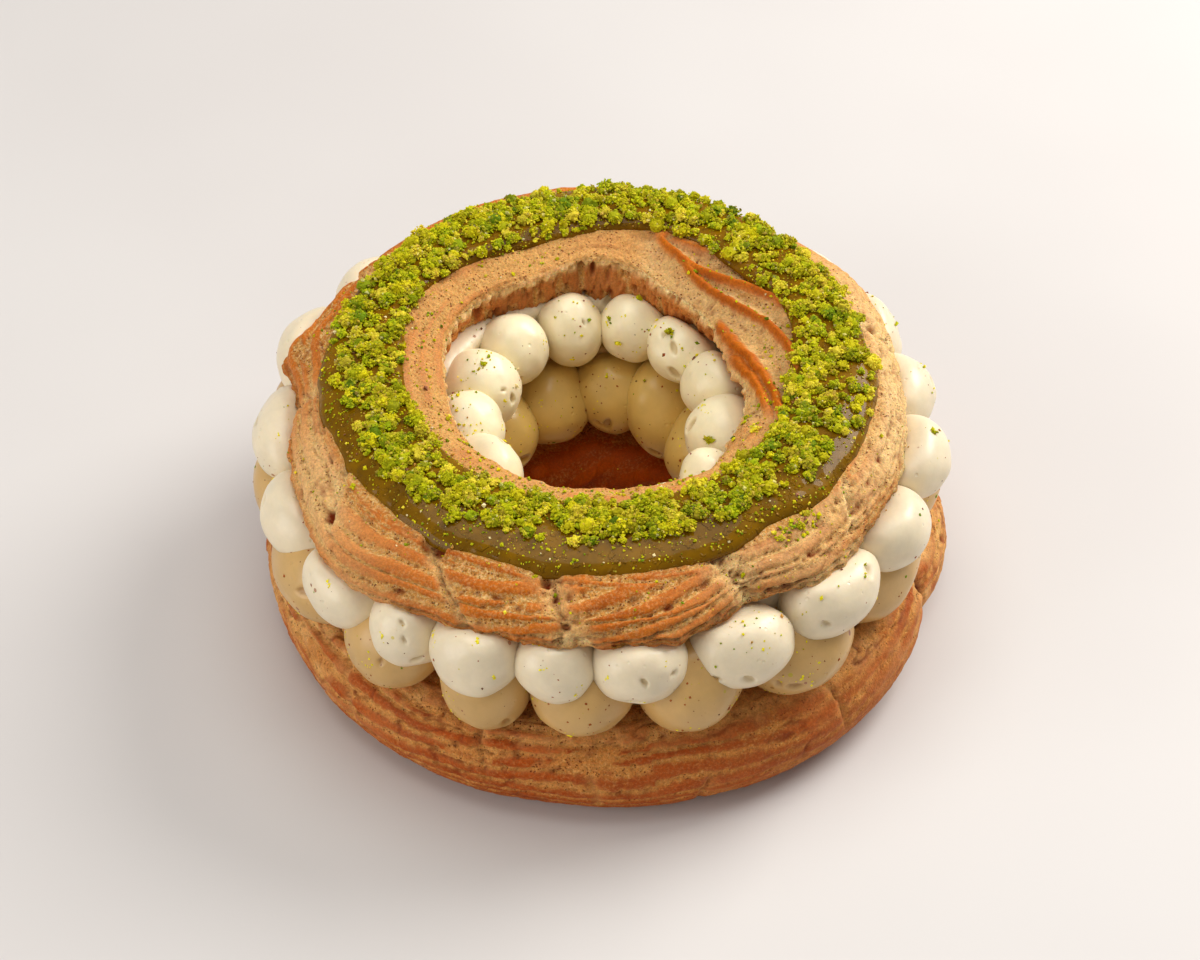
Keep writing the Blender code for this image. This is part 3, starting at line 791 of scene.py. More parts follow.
def press(places):
    """Flattens what would reach through the lid."""
    off = places - AXIS
    radius = np.hypot(off[:, 0], off[:, 1])
    azimuth = np.degrees(np.arctan2(off[:, 1], off[:, 0])) % 360.0
    rim = LID_RIM_RADIUS + np.maximum(lumps_at(azimuth, RIM_LUMPS), NOTCH_DEPTH) - 1.5 * MM
    hole = LID_SEAT_INNER + lumps_at(azimuth, HOLE_LUMPS)
    risen = FRONT_RISE * front_reach(azimuth, np.full_like(radius, LID_RIM_RADIUS))
    outside = np.maximum(0.0, radius - rim - risen) + np.maximum(0.0, hole - radius)
    slope = 0.75 + 0.50 * smooth(-0.5, 0.6, np.sin(np.radians(azimuth))) + NOTCH_SLOPE * np.exp(
        -((turned_from(azimuth, 181) / 9) ** 2)
    )
    ceiling = LID_UNDERSIDE + 1.4 * MM + risen + LID_TILT * off[:, 1] + slope * outside
    over = places[:, 2] - ceiling
    soft = 2.4 * MM
    pressed = ceiling - soft * np.log1p(np.exp(np.clip(-over / soft, -30, 30)))
    places[:, 2] = np.where(over > -4 * soft, pressed, places[:, 2])
    return places


def make_domes(name, row, inside, material, node):
    """One piece of all the domes of a row."""
    sphere = front_sphere()
    directions = read(sphere)
    found = domes_of(row)
    bm = bmesh.new()
    for _ in found:
        bm.from_mesh(sphere)
    mesh = bpy.data.meshes.new(name)
    bm.to_mesh(mesh)
    bm.free()
    places = []
    dent_shades = []
    for dome in found:
        surface = dome_surface(dome, directions, inside)
        dent_and_shade = craters(dome, directions)
        inward = dome.centre - surface
        inward /= np.linalg.norm(inward, axis=1)[:, None]
        places.append(surface + inward * (0.9 * MM * dent_and_shade)[:, None])
        dent_shades.append(dent_and_shade)
    places = np.concatenate(places)
    move(mesh, press(places))
    # The craters are also stored for painted shade in them.
    store(mesh, "dent_and_shade", np.concatenate(dent_shades))
    return piece(name, mesh, material, node)


# Cream smeared under the lid at the back left of the hole
SMEAR = ((118, 22, 3.2 * MM), (152, 20, 3.6 * MM))


def make_core(name, low, high, inner, outer, material, node, seed, smear=0.0):
    """The cream behind the domes."""
    middle = ((inner + outer) / 2, (low + high) / 2)
    reach = ((outer - inner) / 2, (high - low) / 2)
    turn = np.radians(np.linspace(0, 360, 49)[:-1])
    square = np.abs(np.cos(turn)) ** 0.5 * np.sign(np.cos(turn)), np.abs(np.sin(turn)) ** 0.5 * np.sign(
        np.sin(turn)
    )
    section = np.stack([middle[0] + reach[0] * square[0], middle[1] + reach[1] * square[1]], axis=-1)
    mesh = turned_mesh(name, section, CORE_STEPS)
    radius, azimuth, height, along = ring_coordinates(mesh, section)
    even = ring_places(azimuth, along, 1.0)
    shaped = radius + 1.0 * MM * rough(even, 9 * MM, seed)
    holes = bubbles(ring_places(azimuth, along, 2.0), 7 * MM, seed + 3, 0.4)
    inner_side = smooth(middle[0], inner + 2 * MM, radius)
    shaped = shaped + inner_side * 1.6 * MM * smooth(0.1, 0.6, holes)
    smeared = smear * inner_side * smooth(middle[1], high - 1 * MM, height) * lumps_at(azimuth, SMEAR)
    shaped = shaped - smeared
    height = height + 0.5 * smeared
    move(mesh, ring_point(shaped, azimuth, height, CREAM_TILT * 1.6))
    # The holes are also stored for painted shade in them.
    store(mesh, "dent_and_shade", holes * inner_side)
    return piece(name, mesh, material, node)


# ---------------------------------------------------------------- glaze


def glaze_section():
    """A blanket with rounded lips, as shares across the band and heights over the lid."""
    turn = np.linspace(0, math.pi, 34)
    top = np.stack([np.cos(turn), (1 - np.cos(turn) ** 6) ** 0.5], axis=-1)
    bottom = np.stack([np.linspace(-1, 1, 12)[1:-1], np.zeros(10)], axis=-1)
    return np.concatenate([top, bottom])


def glaze_edges(azimuth):
    """The inner and outer radius of the glaze at each azimuth."""
    round_ring = ring_places(azimuth, np.zeros_like(azimuth), 1.0)
    wobble = 1.3 * MM * rough(round_ring, 10 * MM, 81, 3)
    outer = GLAZE_OUTER_RADIUS + lumps_at(azimuth, GLAZE_LUMPS) + wobble
    wobble = 0.6 * MM * rough(round_ring, 11 * MM, 84, 3)
    inner = GLAZE_INNER_RADIUS + lumps_at(azimuth, GLAZE_HOLE_LUMPS) + wobble
    return inner, outer


def make_glaze(material):
    section = glaze_section()
    # The section is turned as a narrow ring, and then spread over the lid.
    ring = section * (1 * MM, 1 * MM) + (10 * MM, 0.0)
    mesh = turned_mesh("pistachio_glaze_band", ring, GLAZE_STEPS)
    radius, azimuth, height, _ = ring_coordinates(mesh, ring)
    share = (radius - 10 * MM) / MM
    thick = height / MM
    inner, outer = glaze_edges(azimuth)
    reach = (inner + outer) / 2 + share * (outer - inner) / 2
    flow = ring_places(azimuth, reach, 1.0, 65 * MM)
    deep = GLAZE_DEPTH * (1 + 0.22 * rough(flow, 12 * MM, 87)) + 0.5 * MM * share**4 * (share > 0)
    base = lid_top(reach) - 0.5 * MM
    move(mesh, ring_point(reach, azimuth, base + GLAZE_LIFT + deep * thick, LID_TILT))
    return piece("pistachio_glaze_band", mesh, material, "pistachio_glaze")


# ---------------------------------------------------------------- crumbs


def lump_form():
    bm = bmesh.new()
    bmesh.ops.create_icosphere(bm, subdivisions=2, radius=1.0)
    return form_of(bm)


def grain_form():
    bm = bmesh.new()
    bmesh.ops.create_uvsphere(bm, u_segments=4, v_segments=2, radius=1.0)
    return form_of(bm)


def form_of(bm):
    """The corners and the triangles of a small form."""
    bmesh.ops.recalc_face_normals(bm, faces=bm.faces)
    mesh = bpy.data.meshes.new("form")
    bm.to_mesh(mesh)
    bm.free()
    return read(mesh), np.array([list(face.vertices) for face in mesh.polygons])


def turned_at_random(shape, chance):
    """Each of many small forms turned its own way."""
    turn = chance.normal(size=(len(shape), 4))
    turn /= np.linalg.norm(turn, axis=1)[:, None]
    w, x, y, z = turn.T
    rows = (
        (1 - 2 * (y * y + z * z), 2 * (x * y - z * w), 2 * (x * z + y * w)),
        (2 * (x * y + z * w), 1 - 2 * (x * x + z * z), 2 * (y * z - x * w)),
        (2 * (x * z - y * w), 2 * (y * z + x * w), 1 - 2 * (x * x + y * y)),
    )
    spin = np.stack([np.stack(row, axis=-1) for row in rows], axis=1)
    return np.einsum("nij,nkj->nki", spin, shape)


class Crumbs:
    """Crumbs gathered for one mesh: their places, sizes, tints and the surface's normals."""

    def __init__(self):
        self.places = []
        self.sizes = []
        self.tints = []
        self.normals = []

    def add(self, places, sizes, tints, normals=None):
        self.places.append(places)
        self.sizes.append(sizes)
        self.tints.append(tints)
        self.normals.append(np.tile((0.0, 0.0, 1.0), (len(places), 1)) if normals is None else normals)

    def build(self, name, form, spread, flat, seed, material):
        """Pieces of a size that one mesh may have, of rough forms flattened along the surface."""
        corners, faces = form
        chance = np.random.default_rng(seed)
        gathered = (self.places, self.sizes, self.tints, self.normals)
        places, sizes, tints, normals = map(np.concatenate, gathered)
        count = len(places)
        shape = corners[None] * chance.uniform(1 - spread, 1 + spread, (count, len(corners), 1))
        shape = shape * chance.uniform(0.7, 1.25, (count, 1, 3))
        shape = turned_at_random(shape, chance) * sizes[:, None, None]
        over = np.einsum("nki,ni->nk", shape, normals)
        shape = shape - (1 - flat) * over[:, :, None] * normals[:, None, :] + places[:, None, :]
        pieces = math.ceil(count * len(faces) / 190000)
        for i in range(pieces):
            title = f"{name}_{i + 1}" if pieces > 1 else name
            joined_forms(title, shape[i::pieces], faces, tints[i::pieces], material)


def joined_forms(name, shape, faces, tints, material):
    """Many small forms in one mesh, each with its own tint."""
    count, corners = shape.shape[:2]
    all_faces = (faces[None] + corners * np.arange(count)[:, None, None]).reshape(-1, 3)
    mesh = bpy.data.meshes.new(name)
    mesh.vertices.add(count * corners)
    mesh.loops.add(all_faces.size)
    mesh.polygons.add(len(all_faces))
    mesh.vertices.foreach_set("co", shape.astype(np.float32).ravel())
    mesh.loops.foreach_set("vertex_index", all_faces.astype(np.int32).ravel())
    mesh.polygons.foreach_set("loop_start", np.arange(0, all_faces.size, 3, dtype=np.int32))
    mesh.update(calc_edges=True)
    colours = np.ones((count, corners, 4), np.float32)
    colours[:, :, :3] = tints[:, None, :]
    attribute = mesh.color_attributes.new("tint", "FLOAT_COLOR", "POINT")
    attribute.data.foreach_set("color", colours.ravel())
    piece(name, mesh, material, None)
    mesh.polygons.foreach_set("use_smooth", np.zeros(len(mesh.polygons), bool))


def srgb(red, green, blue):
    """A linear colour from 0 to 255 display values."""
    values = np.array([red, green, blue]) / 255.0
    return np.where(values <= 0.04045, values / 12.92, ((values + 0.055) / 1.055) ** 2.4)


CRUMB_TINTS = (
    (0.28, srgb(204, 198, 16)),
    (0.24, srgb(180, 186, 10)),
    (0.15, srgb(152, 172, 8)),
    (0.05, srgb(108, 138, 8)),
    (0.14, srgb(226, 212, 58)),
    (0.06, srgb(196, 150, 72)),
    (0.05, srgb(150, 100, 76)),
    (0.03, srgb(228, 216, 166)),
)
LUMP_TINTS = 5
GREEN = srgb(120, 146, 14)
YELLOW = srgb(240, 224, 44)
SHELL_BROWN = srgb(160, 84, 40)
DARK_SPECK = srgb(112, 66, 36)


def tint_draws(chance, count, kinds=len(CRUMB_TINTS)):
    """A crumb tint for each of so many crumbs, from the first kinds of tint."""
    weights = np.array([weight for weight, _ in CRUMB_TINTS[:kinds]])
    picks = chance.choice(kinds, count, p=weights / weights.sum())
    tints = np.array([tint for _, tint in CRUMB_TINTS])[picks]
    return tints * chance.uniform(0.62, 1.28, (count, 1)) * (1.04, 0.97, 0.9)


def drop(azimuth, radius):
    """Where crumbs let fall from above land: their places and the surface's normals."""
    graph = bpy.context.evaluated_depsgraph_get()
    places, normals = [], []
    for x, y, _ in ring_point(radius, azimuth, np.zeros_like(radius)):
        hit, place, normal, *_ = bpy.context.scene.ray_cast(graph, Vector((x, y, 0.2)), Vector((0, 0, -1)))
        if hit and place.z > 5 * MM:
            places.append(place)
            normals.append(normal)
    return np.array(places), np.array(normals)


def bare_width(azimuth):
    """How much of the glaze's outer side has no crumbs on it."""
    front = smooth(168, 190, azimuth) * smooth(352, 325, azimuth)
    deep = 1 + 0.35 * smooth(235, 255, azimuth) * smooth(315, 290, azimuth)
    return front * 5.4 * MM * deep


def crumb_reach(azimuth):
    """The inner and outer radius of the crumbs."""
    inner, outer = glaze_edges(azimuth)
    round_ring = ring_places(azimuth, np.zeros_like(azimuth), 1.0)
    ragged = 1.6 * MM * rough(round_ring, 5 * MM, 101)
    return inner + 0.2 * MM + ragged * 0.7, outer - 0.4 * MM - bare_width(azimuth) + ragged


def heap(places, reaches, chance, lumps, grains):
    """Clumps of grains: a rough lump each, and the grains that stand out of it."""
    tints = tint_draws(chance, len(places), LUMP_TINTS)
    # The lumps are painted darker than their grains: painted shade between the grains.
    lumps.add(places + np.outer(reaches, (0, 0, 0.3)), reaches * 0.72, tints * 0.8)
    for place, reach, tint in zip(places, reaches, tints):
        amount = int(9 + 13 * (reach / MM) ** 2)
        away = chance.normal(size=(amount, 3))
        away /= np.linalg.norm(away, axis=1)[:, None]
        away[:, 2] = np.abs(away[:, 2]) - 0.2
        stretch = chance.uniform(0.75, 1.25, 3)
        around = place + (0, 0, 0.3 * reach) + away * stretch * reach * chance.uniform(0.62, 1.05, (amount, 1))
        sizes = chance.gamma(5.0, 0.075, amount).clip(0.2, 0.75) * MM
        grains.add(around, sizes, 0.55 * tint + 0.45 * tint_draws(chance, amount))


# Loose crumbs: azimuths from and to, radii from and to in millimetres, how many, and their size
LOOSE = (
    (306, 317, 74, 79, 110, 0.42),
    (200, 345, 42.5, 52, 330, 0.36),
    (345, 420, 45, 57, 130, 0.36),
    (100, 200, 45, 55, 110, 0.36),
    (180, 350, 70, 86, 170, 0.30),
    (60, 180, 72, 80, 60, 0.36),
    (-10, 45, 88, 98, 46, 0.40),
    (150, 205, 33, 40, 60, 0.34),
    (20, 110, 31, 42, 46, 0.36),
    (0, 360, 24, 34, 40, 0.34),
    (285, 320, 86, 95, 40, 0.28),
)
# Larger bits: azimuth, radius in millimetres and reach in millimetres
BITS = (
    (74, 42.2, 0.9),
    (53, 33.4, 1.3),
    (85, 35.5, 0.6),
    (79, 31.0, 0.8),
    (160, 34.0, 0.6),
    (336, 33.0, 1.3),
    (330, 48.0, 1.3),
    (338, 42.6, 0.9),
    (312, 77.0, 1.1),
    (315, 75.5, 1.0),
    (307, 77.0, 1.0),
    (12, 97.0, 0.8),
    (22, 95.0, 0.9),
    (4, 93.0, 0.8),
    (352, 92.0, 0.7),
    (346, 74.5, 1.2),
    (215, 77.0, 0.8),
    (258, 76.0, 0.6),
)


def make_crumbs(material):
    """Ground pistachio: clumps heaped on the glaze, finer grains between them and loose bits."""
    chance = np.random.default_rng(201)
    lumps, grains = Crumbs(), Crumbs()
    azimuth = chance.uniform(0, 360, 1450)
    inner, outer = crumb_reach(azimuth)
    places, _ = drop(azimuth, inner + (outer - inner) * chance.uniform(0, 1, len(azimuth)) ** 0.9)
    heap(places, (0.6 + chance.gamma(2.2, 0.38, len(places))).clip(0, 2.5) * MM, chance, lumps, grains)
    azimuth, radius, reach = np.array(BITS).T
    places, _ = drop(azimuth, radius * MM)
    heap(places, reach[: len(places)] * MM, chance, lumps, grains)

    azimuth = chance.uniform(0, 360, 5200)
    inner, outer = glaze_edges(azimuth)
    spots = [(azimuth, inner + (outer - inner) * chance.uniform(0, 0.97, len(azimuth)), 0.26)]
    for start, end, near, far, amount, size in LOOSE:
        middle = chance.uniform(start, end, amount)
        spots.append((middle, chance.uniform(near, far, amount) * MM, size))
    for azimuth, radius, size in spots:
        places, normals = drop(azimuth, radius)
        amount = len(places)
        sizes = chance.gamma(5.0, size / 5, amount).clip(0.12, 0.8) * MM
        grains.add(places + normals * (0.4 * sizes)[:, None], sizes, tint_draws(chance, amount), normals)
    lumps.build("pistachio_lumps", lump_form(), 0.24, 1.0, 211, material)
    grains.build("pistachio_crumbs", grain_form(), 0.35, 0.85, 212, material)


# Flecks on the cream: how many on a dome, their size in millimetres, how widely a group of them is
# spread, how many make a group, and the tint
FLECKS = {
    "vanilla": (
        (2, 0.15, 0.0, 1, DARK_SPECK),
        (6, 0.20, 0.0, 1, SHELL_BROWN),
        (3, 0.30, 0.07, 4, YELLOW),
        (1, 0.38, 0.0, 1, GREEN),
    ),
    "praline": (
        (8, 0.17, 0.0, 1, DARK_SPECK),
        (26, 0.26, 0.0, 1, SHELL_BROWN),
        (7, 0.25, 0.10, 4, YELLOW),
        (2, 0.34, 0.0, 1, GREEN),
    ),
}


def make_flecks(material):
    """Bits of nut and pistachio that lie flat on the domes."""
    chance = np.random.default_rng(301)
    flecks = Crumbs()
    for name, row in ROWS.items():
        inside = name.endswith("inner")
        for dome in domes_of(row):
            for most, size, spread, group, tint in FLECKS[name.split("_")[0]]:
                amount = chance.integers(most // 2, most + most // 2 + 1)
                middle = chance.normal(size=(amount, 3))
                middle[:, 2] = np.abs(middle[:, 2]) + 0.3
                around = np.repeat(middle / np.linalg.norm(middle, axis=1)[:, None], group, axis=0)
                around = around + spread * chance.normal(size=around.shape)
                around /= np.linalg.norm(around, axis=1)[:, None]
                places = press(dome_surface(dome, around, inside))
                normals = places - dome.centre
                normals /= np.linalg.norm(normals, axis=1)[:, None]
                sizes = chance.gamma(5.0, 1.25 * size / 5, len(places)).clip(0.1, 0.8) * MM
                tints = tint * chance.uniform(0.8, 1.25, (len(places), 1))
                flecks.add(places, sizes, tints, normals)
    # A drop of caramel on the base's right front
    flecks.add(*caramel())
    flecks.build("cream_flecks", grain_form(), 0.3, 0.4, 311, material)


def caramel():
    places = ring_point(np.array([96.3 * MM]), np.array([311.0]), np.array([8 * MM]), 0.0, BASE_OFFSET)
    return places, np.array([1.1 * MM]), srgb(150, 52, 18)[None], np.array([[0.0, 0.0, 1.0]])


# ---------------------------------------------------------------- materials


def new_group(name, inputs, outputs):
    group = bpy.data.node_groups.new(name, "ShaderNodeTree")
    for kind, label, default in inputs:
        socket = group.interface.new_socket(label, in_out="INPUT", socket_type="NodeSocket" + kind)
        if default is not None:
            socket.default_value = default
    for kind, label in outputs:
        group.interface.new_socket(label, in_out="OUTPUT", socket_type="NodeSocket" + kind)
    return group, group.nodes.new("NodeGroupInput"), group.nodes.new("NodeGroupOutput")


class Wires:
    """Short ways to add and join the nodes of one tree."""

    def __init__(self, tree):
        self.tree = tree

    def add(self, kind, **settings):
        node = self.tree.nodes.new("ShaderNode" + kind)
        for key, value in settings.items():
            setattr(node, key, value)
        return node

    def feed(self, socket, value):
        if isinstance(value, bpy.types.NodeSocket):
            self.tree.links.new(value, socket)
        else:
            socket.default_value = value

    def math(self, operation, first, second=0.0, third=0.0):
        node = self.add("Math", operation=operation)
        for socket, value in zip(node.inputs, (first, second, third)):
            self.feed(socket, value)
        return node.outputs[0]

    def ramp(self, value, low, high, to_low=0.0, to_high=1.0):
        node = self.add("MapRange", interpolation_type="SMOOTHSTEP")
        for socket, given in zip(node.inputs, (value, low, high, to_low, to_high)):
            self.feed(socket, given)
        return node.outputs[0]

    def mix(self, share, first, second, blend="MIX"):
        node = self.add("Mix", data_type="RGBA", blend_type=blend)
        self.feed(node.inputs["Factor"], share)
        self.feed(node.inputs[6], first)
        self.feed(node.inputs[7], second)
        return node.outputs[2]

    def noise(self, vector, scale, detail=2.0, roughness=0.5):
        node = self.add("TexNoise")
        self.feed(node.inputs["Vector"], vector)
        self.feed(node.inputs["Scale"], scale)
        self.feed(node.inputs["Detail"], detail)
        self.feed(node.inputs["Roughness"], roughness)
        return node.outputs["Fac"]

    def cells(self, vector, scale, output="Distance"):
        node = self.add("TexVoronoi")
        self.feed(node.inputs["Vector"], vector)
        self.feed(node.inputs["Scale"], scale)
        return node.outputs[output]

    def attribute(self, name, output="Fac"):
        return self.add("Attribute", attribute_name=name).outputs[output]

    def group(self, group, **inputs):
        node = self.add("Group", node_tree=group)
        for label, value in inputs.items():
            self.feed(node.inputs[label.replace("_", " ")], value)
        return node


def colour(values):
    return (*[float(v) for v in values], 1.0)


def new_material(name, roughness):
    material = bpy.data.materials.new(name)
    material.use_nodes = True
    wires = Wires(material.node_tree)
    shader = material.node_tree.nodes["Principled BSDF"]
    shader.inputs["Roughness"].default_value = roughness
    coordinates = wires.add("TexCoord").outputs["Object"]
    return material, wires, shader, coordinates


def choux_group():
    """Baked choux: browned crests, a paler skin full of small pores, and painted shade in its pores, pits, cracks and
    hollows.
    """
    group, given, out = new_group(
        "choux_skin",
        [
            ("Vector", "Place", None),
            ("Float", "Crest", 0.0),
            # Pit and Pit Colour carry painted shade in pores, cracks and hollows
            ("Float", "Pit", 0.0),
            ("Float", "Torn", 0.0),
            ("Float", "Calm", 0.0),
            ("Color", "Crest Colour", (0.4, 0.15, 0.04, 1)),
            ("Color", "Skin Colour", (0.55, 0.3, 0.14, 1)),
            ("Color", "Pit Colour", (0.12, 0.03, 0.01, 1)),
            ("Color", "Torn Colour", (0.7, 0.42, 0.2, 1)),
        ],
        [("Color", "Colour"), ("Float", "Roughness"), ("Float", "Height")],
    )
    wires = Wires(group)
    place = given.outputs["Place"]
    crest = given.outputs["Crest"]
    patches = wires.noise(place, 55.0, 3.0, 0.6)
    streaks = wires.noise(place, 260.0, 4.0, 0.65)
    grain = wires.noise(place, 1500.0, 3.0, 0.7)
    bare = wires.math("SUBTRACT", 1.0, wires.math("MINIMUM", crest, 1.0))
    pore = wires.ramp(wires.cells(place, 1150.0), 0.36, 0.14)
    where = wires.ramp(wires.noise(place, 420.0, 2.0, 0.5), 0.46, 0.60)
    pore = wires.math("MULTIPLY", pore, wires.math("MULTIPLY", where, wires.ramp(bare, 0.15, 0.7)))
    fine = wires.ramp(wires.cells(place, 2600.0), 0.40, 0.15)
    fine = wires.math("MULTIPLY", fine, wires.ramp(bare, 0.0, 0.8, 0.15, 0.6))
    ragged = wires.noise(place, 720.0, 3.0, 0.65)
    uneven = wires.math("ADD", wires.math("MULTIPLY", ragged, 0.9), wires.math("MULTIPLY", patches, 1.2))
    uneven = wires.math("ADD", wires.math("ADD", streaks, uneven), -1.55)
    lively = wires.ramp(given.outputs["Calm"], 0.0, 1.0, 1.0, 0.25)
    browned = wires.ramp(wires.math("MULTIPLY_ADD", uneven, lively, crest), 0.05, 0.85)
    light = wires.ramp(wires.noise(place, 1250.0, 2.0, 0.7), 0.44, 0.64)
    light = wires.math("MULTIPLY", light, wires.math("MULTIPLY_ADD", browned, -0.42, 0.60))
    light = wires.math("MULTIPLY", light, wires.ramp(crest, 1.0, 1.3, 1.0, 0.0))
    light = wires.math("MULTIPLY", light, lively)
    deep = wires.mix(wires.ramp(patches, 0.35, 0.65), (0.84, 0.76, 0.62, 1), (1.08, 1.12, 1.2, 1))
    crust = wires.mix(1.0, given.outputs["Crest Colour"], deep, "MULTIPLY")
    skin = wires.mix(browned, given.outputs["Skin Colour"], crust)
    pale = wires.math("MAXIMUM", given.outputs["Torn"], light)
    skin = wires.mix(pale, skin, given.outputs["Torn Colour"])
    shade = wires.ramp(grain, 0.3, 0.7, 0.78, 1.14)
    skin = wires.mix(1.0, skin, shade, "MULTIPLY")
    # Painted shade: pores, pits, cracks and hollows take the Pit Colour
    pit_and_pore_shade = wires.math("MAXIMUM", given.outputs["Pit"], wires.math("MULTIPLY", pore, 0.85))
    pit_and_pore_shade = wires.math("MAXIMUM", pit_and_pore_shade, wires.math("MULTIPLY", fine, 0.35))
    wires.feed(out.inputs["Colour"], wires.mix(pit_and_pore_shade, skin, given.outputs["Pit Colour"]))
    wires.feed(out.inputs["Roughness"], wires.ramp(browned, 0.0, 1.0, 0.85, 0.6))
    height = wires.math("MULTIPLY", ragged, wires.ramp(browned, 0.0, 1.0, 1.0, 0.45))
    height = wires.math("MULTIPLY_ADD", grain, wires.ramp(bare, 0.0, 1.0, 0.12, 0.35), height)
    height = wires.math("SUBTRACT", height, wires.math("MULTIPLY", pore, 0.9))
    height = wires.math("SUBTRACT", height, wires.math("MULTIPLY", fine, 0.25))
    wires.feed(out.inputs["Height"], height)
    return group


def choux_material(name, group, crest, skin, pit_shade, torn):
    material, wires, shader, place = new_material(name, 0.6)
    skin_node = wires.group(
        group,
        Place=place,
        Crest=wires.attribute("crest"),
        Pit=wires.attribute("pit_shade"),
        Torn=wires.attribute("torn"),
        Calm=wires.attribute("calm"),
        Crest_Colour=colour(crest),
        Skin_Colour=colour(skin),
        Pit_Colour=colour(pit_shade),
        Torn_Colour=colour(torn),
    )
    wires.feed(shader.inputs["Base Color"], skin_node.outputs["Colour"])
    wires.feed(shader.inputs["Roughness"], skin_node.outputs["Roughness"])
    shader.inputs["Specular IOR Level"].default_value = 0.14
    shader.inputs["Subsurface Weight"].default_value = 0.3
    shader.inputs["Subsurface Radius"].default_value = (1.0, 0.35, 0.12)
    shader.inputs["Subsurface Scale"].default_value = 0.0015
    bump = wires.add("Bump")
    bump.inputs["Strength"].default_value = 0.9
    bump.inputs["Distance"].default_value = 0.6 * MM
    wires.feed(bump.inputs["Height"], skin_node.outputs["Height"])
    wires.feed(shader.inputs["Normal"], bump.outputs["Normal"])
    return material


def fleck_group():
    """Specks sunk in cream: one in some of the cells, each with its own colour."""
    group, given, out = new_group(
        "cream_flecks",
        [
            ("Vector", "Place", None),
            ("Float", "Scale", 300.0),
            ("Float", "Amount", 0.3),
            ("Color", "Cream", (0.8, 0.7, 0.55, 1)),
            ("Color", "First", (0.3, 0.12, 0.04, 1)),
            ("Color", "Second", (0.5, 0.42, 0.02, 1)),
        ],
        [("Color", "Colour"), ("Float", "Mask")],
    )
    wires = Wires(group)
    cells = wires.add("TexVoronoi")
    wires.feed(cells.inputs["Vector"], given.outputs["Place"])
    wires.feed(cells.inputs["Scale"], given.outputs["Scale"])
    parts = wires.add("SeparateColor")
    wires.feed(parts.inputs[0], cells.outputs["Color"])
    chosen = wires.math("LESS_THAN", parts.outputs[0], given.outputs["Amount"])
    reach = wires.math("MULTIPLY_ADD", parts.outputs[1], 0.13, 0.05)
    inside = wires.ramp(wires.math("SUBTRACT", cells.outputs["Distance"], reach), 0.03, -0.02)
    mask = wires.math("MULTIPLY", inside, chosen)
    speck = wires.mix(wires.ramp(parts.outputs[2], 0.4, 0.6), given.outputs["First"], given.outputs["Second"])
    faint = wires.math("MULTIPLY", mask, wires.ramp(parts.outputs[1], 0.0, 1.0, 0.45, 0.9))
    wires.feed(out.inputs["Colour"], wires.mix(faint, given.outputs["Cream"], speck))
    wires.feed(out.inputs["Mask"], mask)
    return group


def cream_material(name, flecks, body, dent_shade_tint, first, second, amount, roughness):
    material, wires, shader, place = new_material(name, roughness)
    mottle = wires.ramp(wires.noise(place, 110.0, 4.0, 0.65), 0.3, 0.7, 0.93, 1.04)
    base = wires.mix(1.0, colour(body), mottle, "MULTIPLY")
    # Painted shade: craters and holes take a darker cream tint.
    dent_and_shade = wires.ramp(wires.attribute("dent_and_shade"), 0.15, 1.0, 0.0, 0.75)
    base = wires.mix(dent_and_shade, base, colour(dent_shade_tint))
    near = wires.group(
        flecks, Place=place, Scale=240.0, Amount=amount, Cream=base, First=colour(first), Second=colour(second)
    )
    fine = wires.group(
        flecks,
        Place=place,
        Scale=620.0,
        Amount=amount * 0.5,
        Cream=near.outputs["Colour"],
        First=colour(first),
        Second=colour(second),
    )
    wires.feed(shader.inputs["Base Color"], fine.outputs["Colour"])
    shader.inputs["Subsurface Weight"].default_value = 0.25
    shader.inputs["Subsurface Radius"].default_value = (1.0, 0.7, 0.4)
    shader.inputs["Subsurface Scale"].default_value = 0.002
    bump = wires.add("Bump")
    bump.inputs["Strength"].default_value = 0.5
    bump.inputs["Distance"].default_value = 0.5 * MM
    pits = wires.ramp(wires.cells(place, 330.0), 0.20, 0.08)
    seldom = wires.ramp(wires.noise(place, 130.0, 1.0, 0.5), 0.52, 0.60)
    height = wires.math("MULTIPLY", wires.math("MULTIPLY", pits, seldom), -0.8)
    height = wires.math("ADD", height, wires.math("MULTIPLY", wires.noise(place, 500.0, 3.0, 0.6), 0.25))
    wires.feed(bump.inputs["Height"], height)
    wires.feed(shader.inputs["Normal"], bump.outputs["Normal"])
    return material


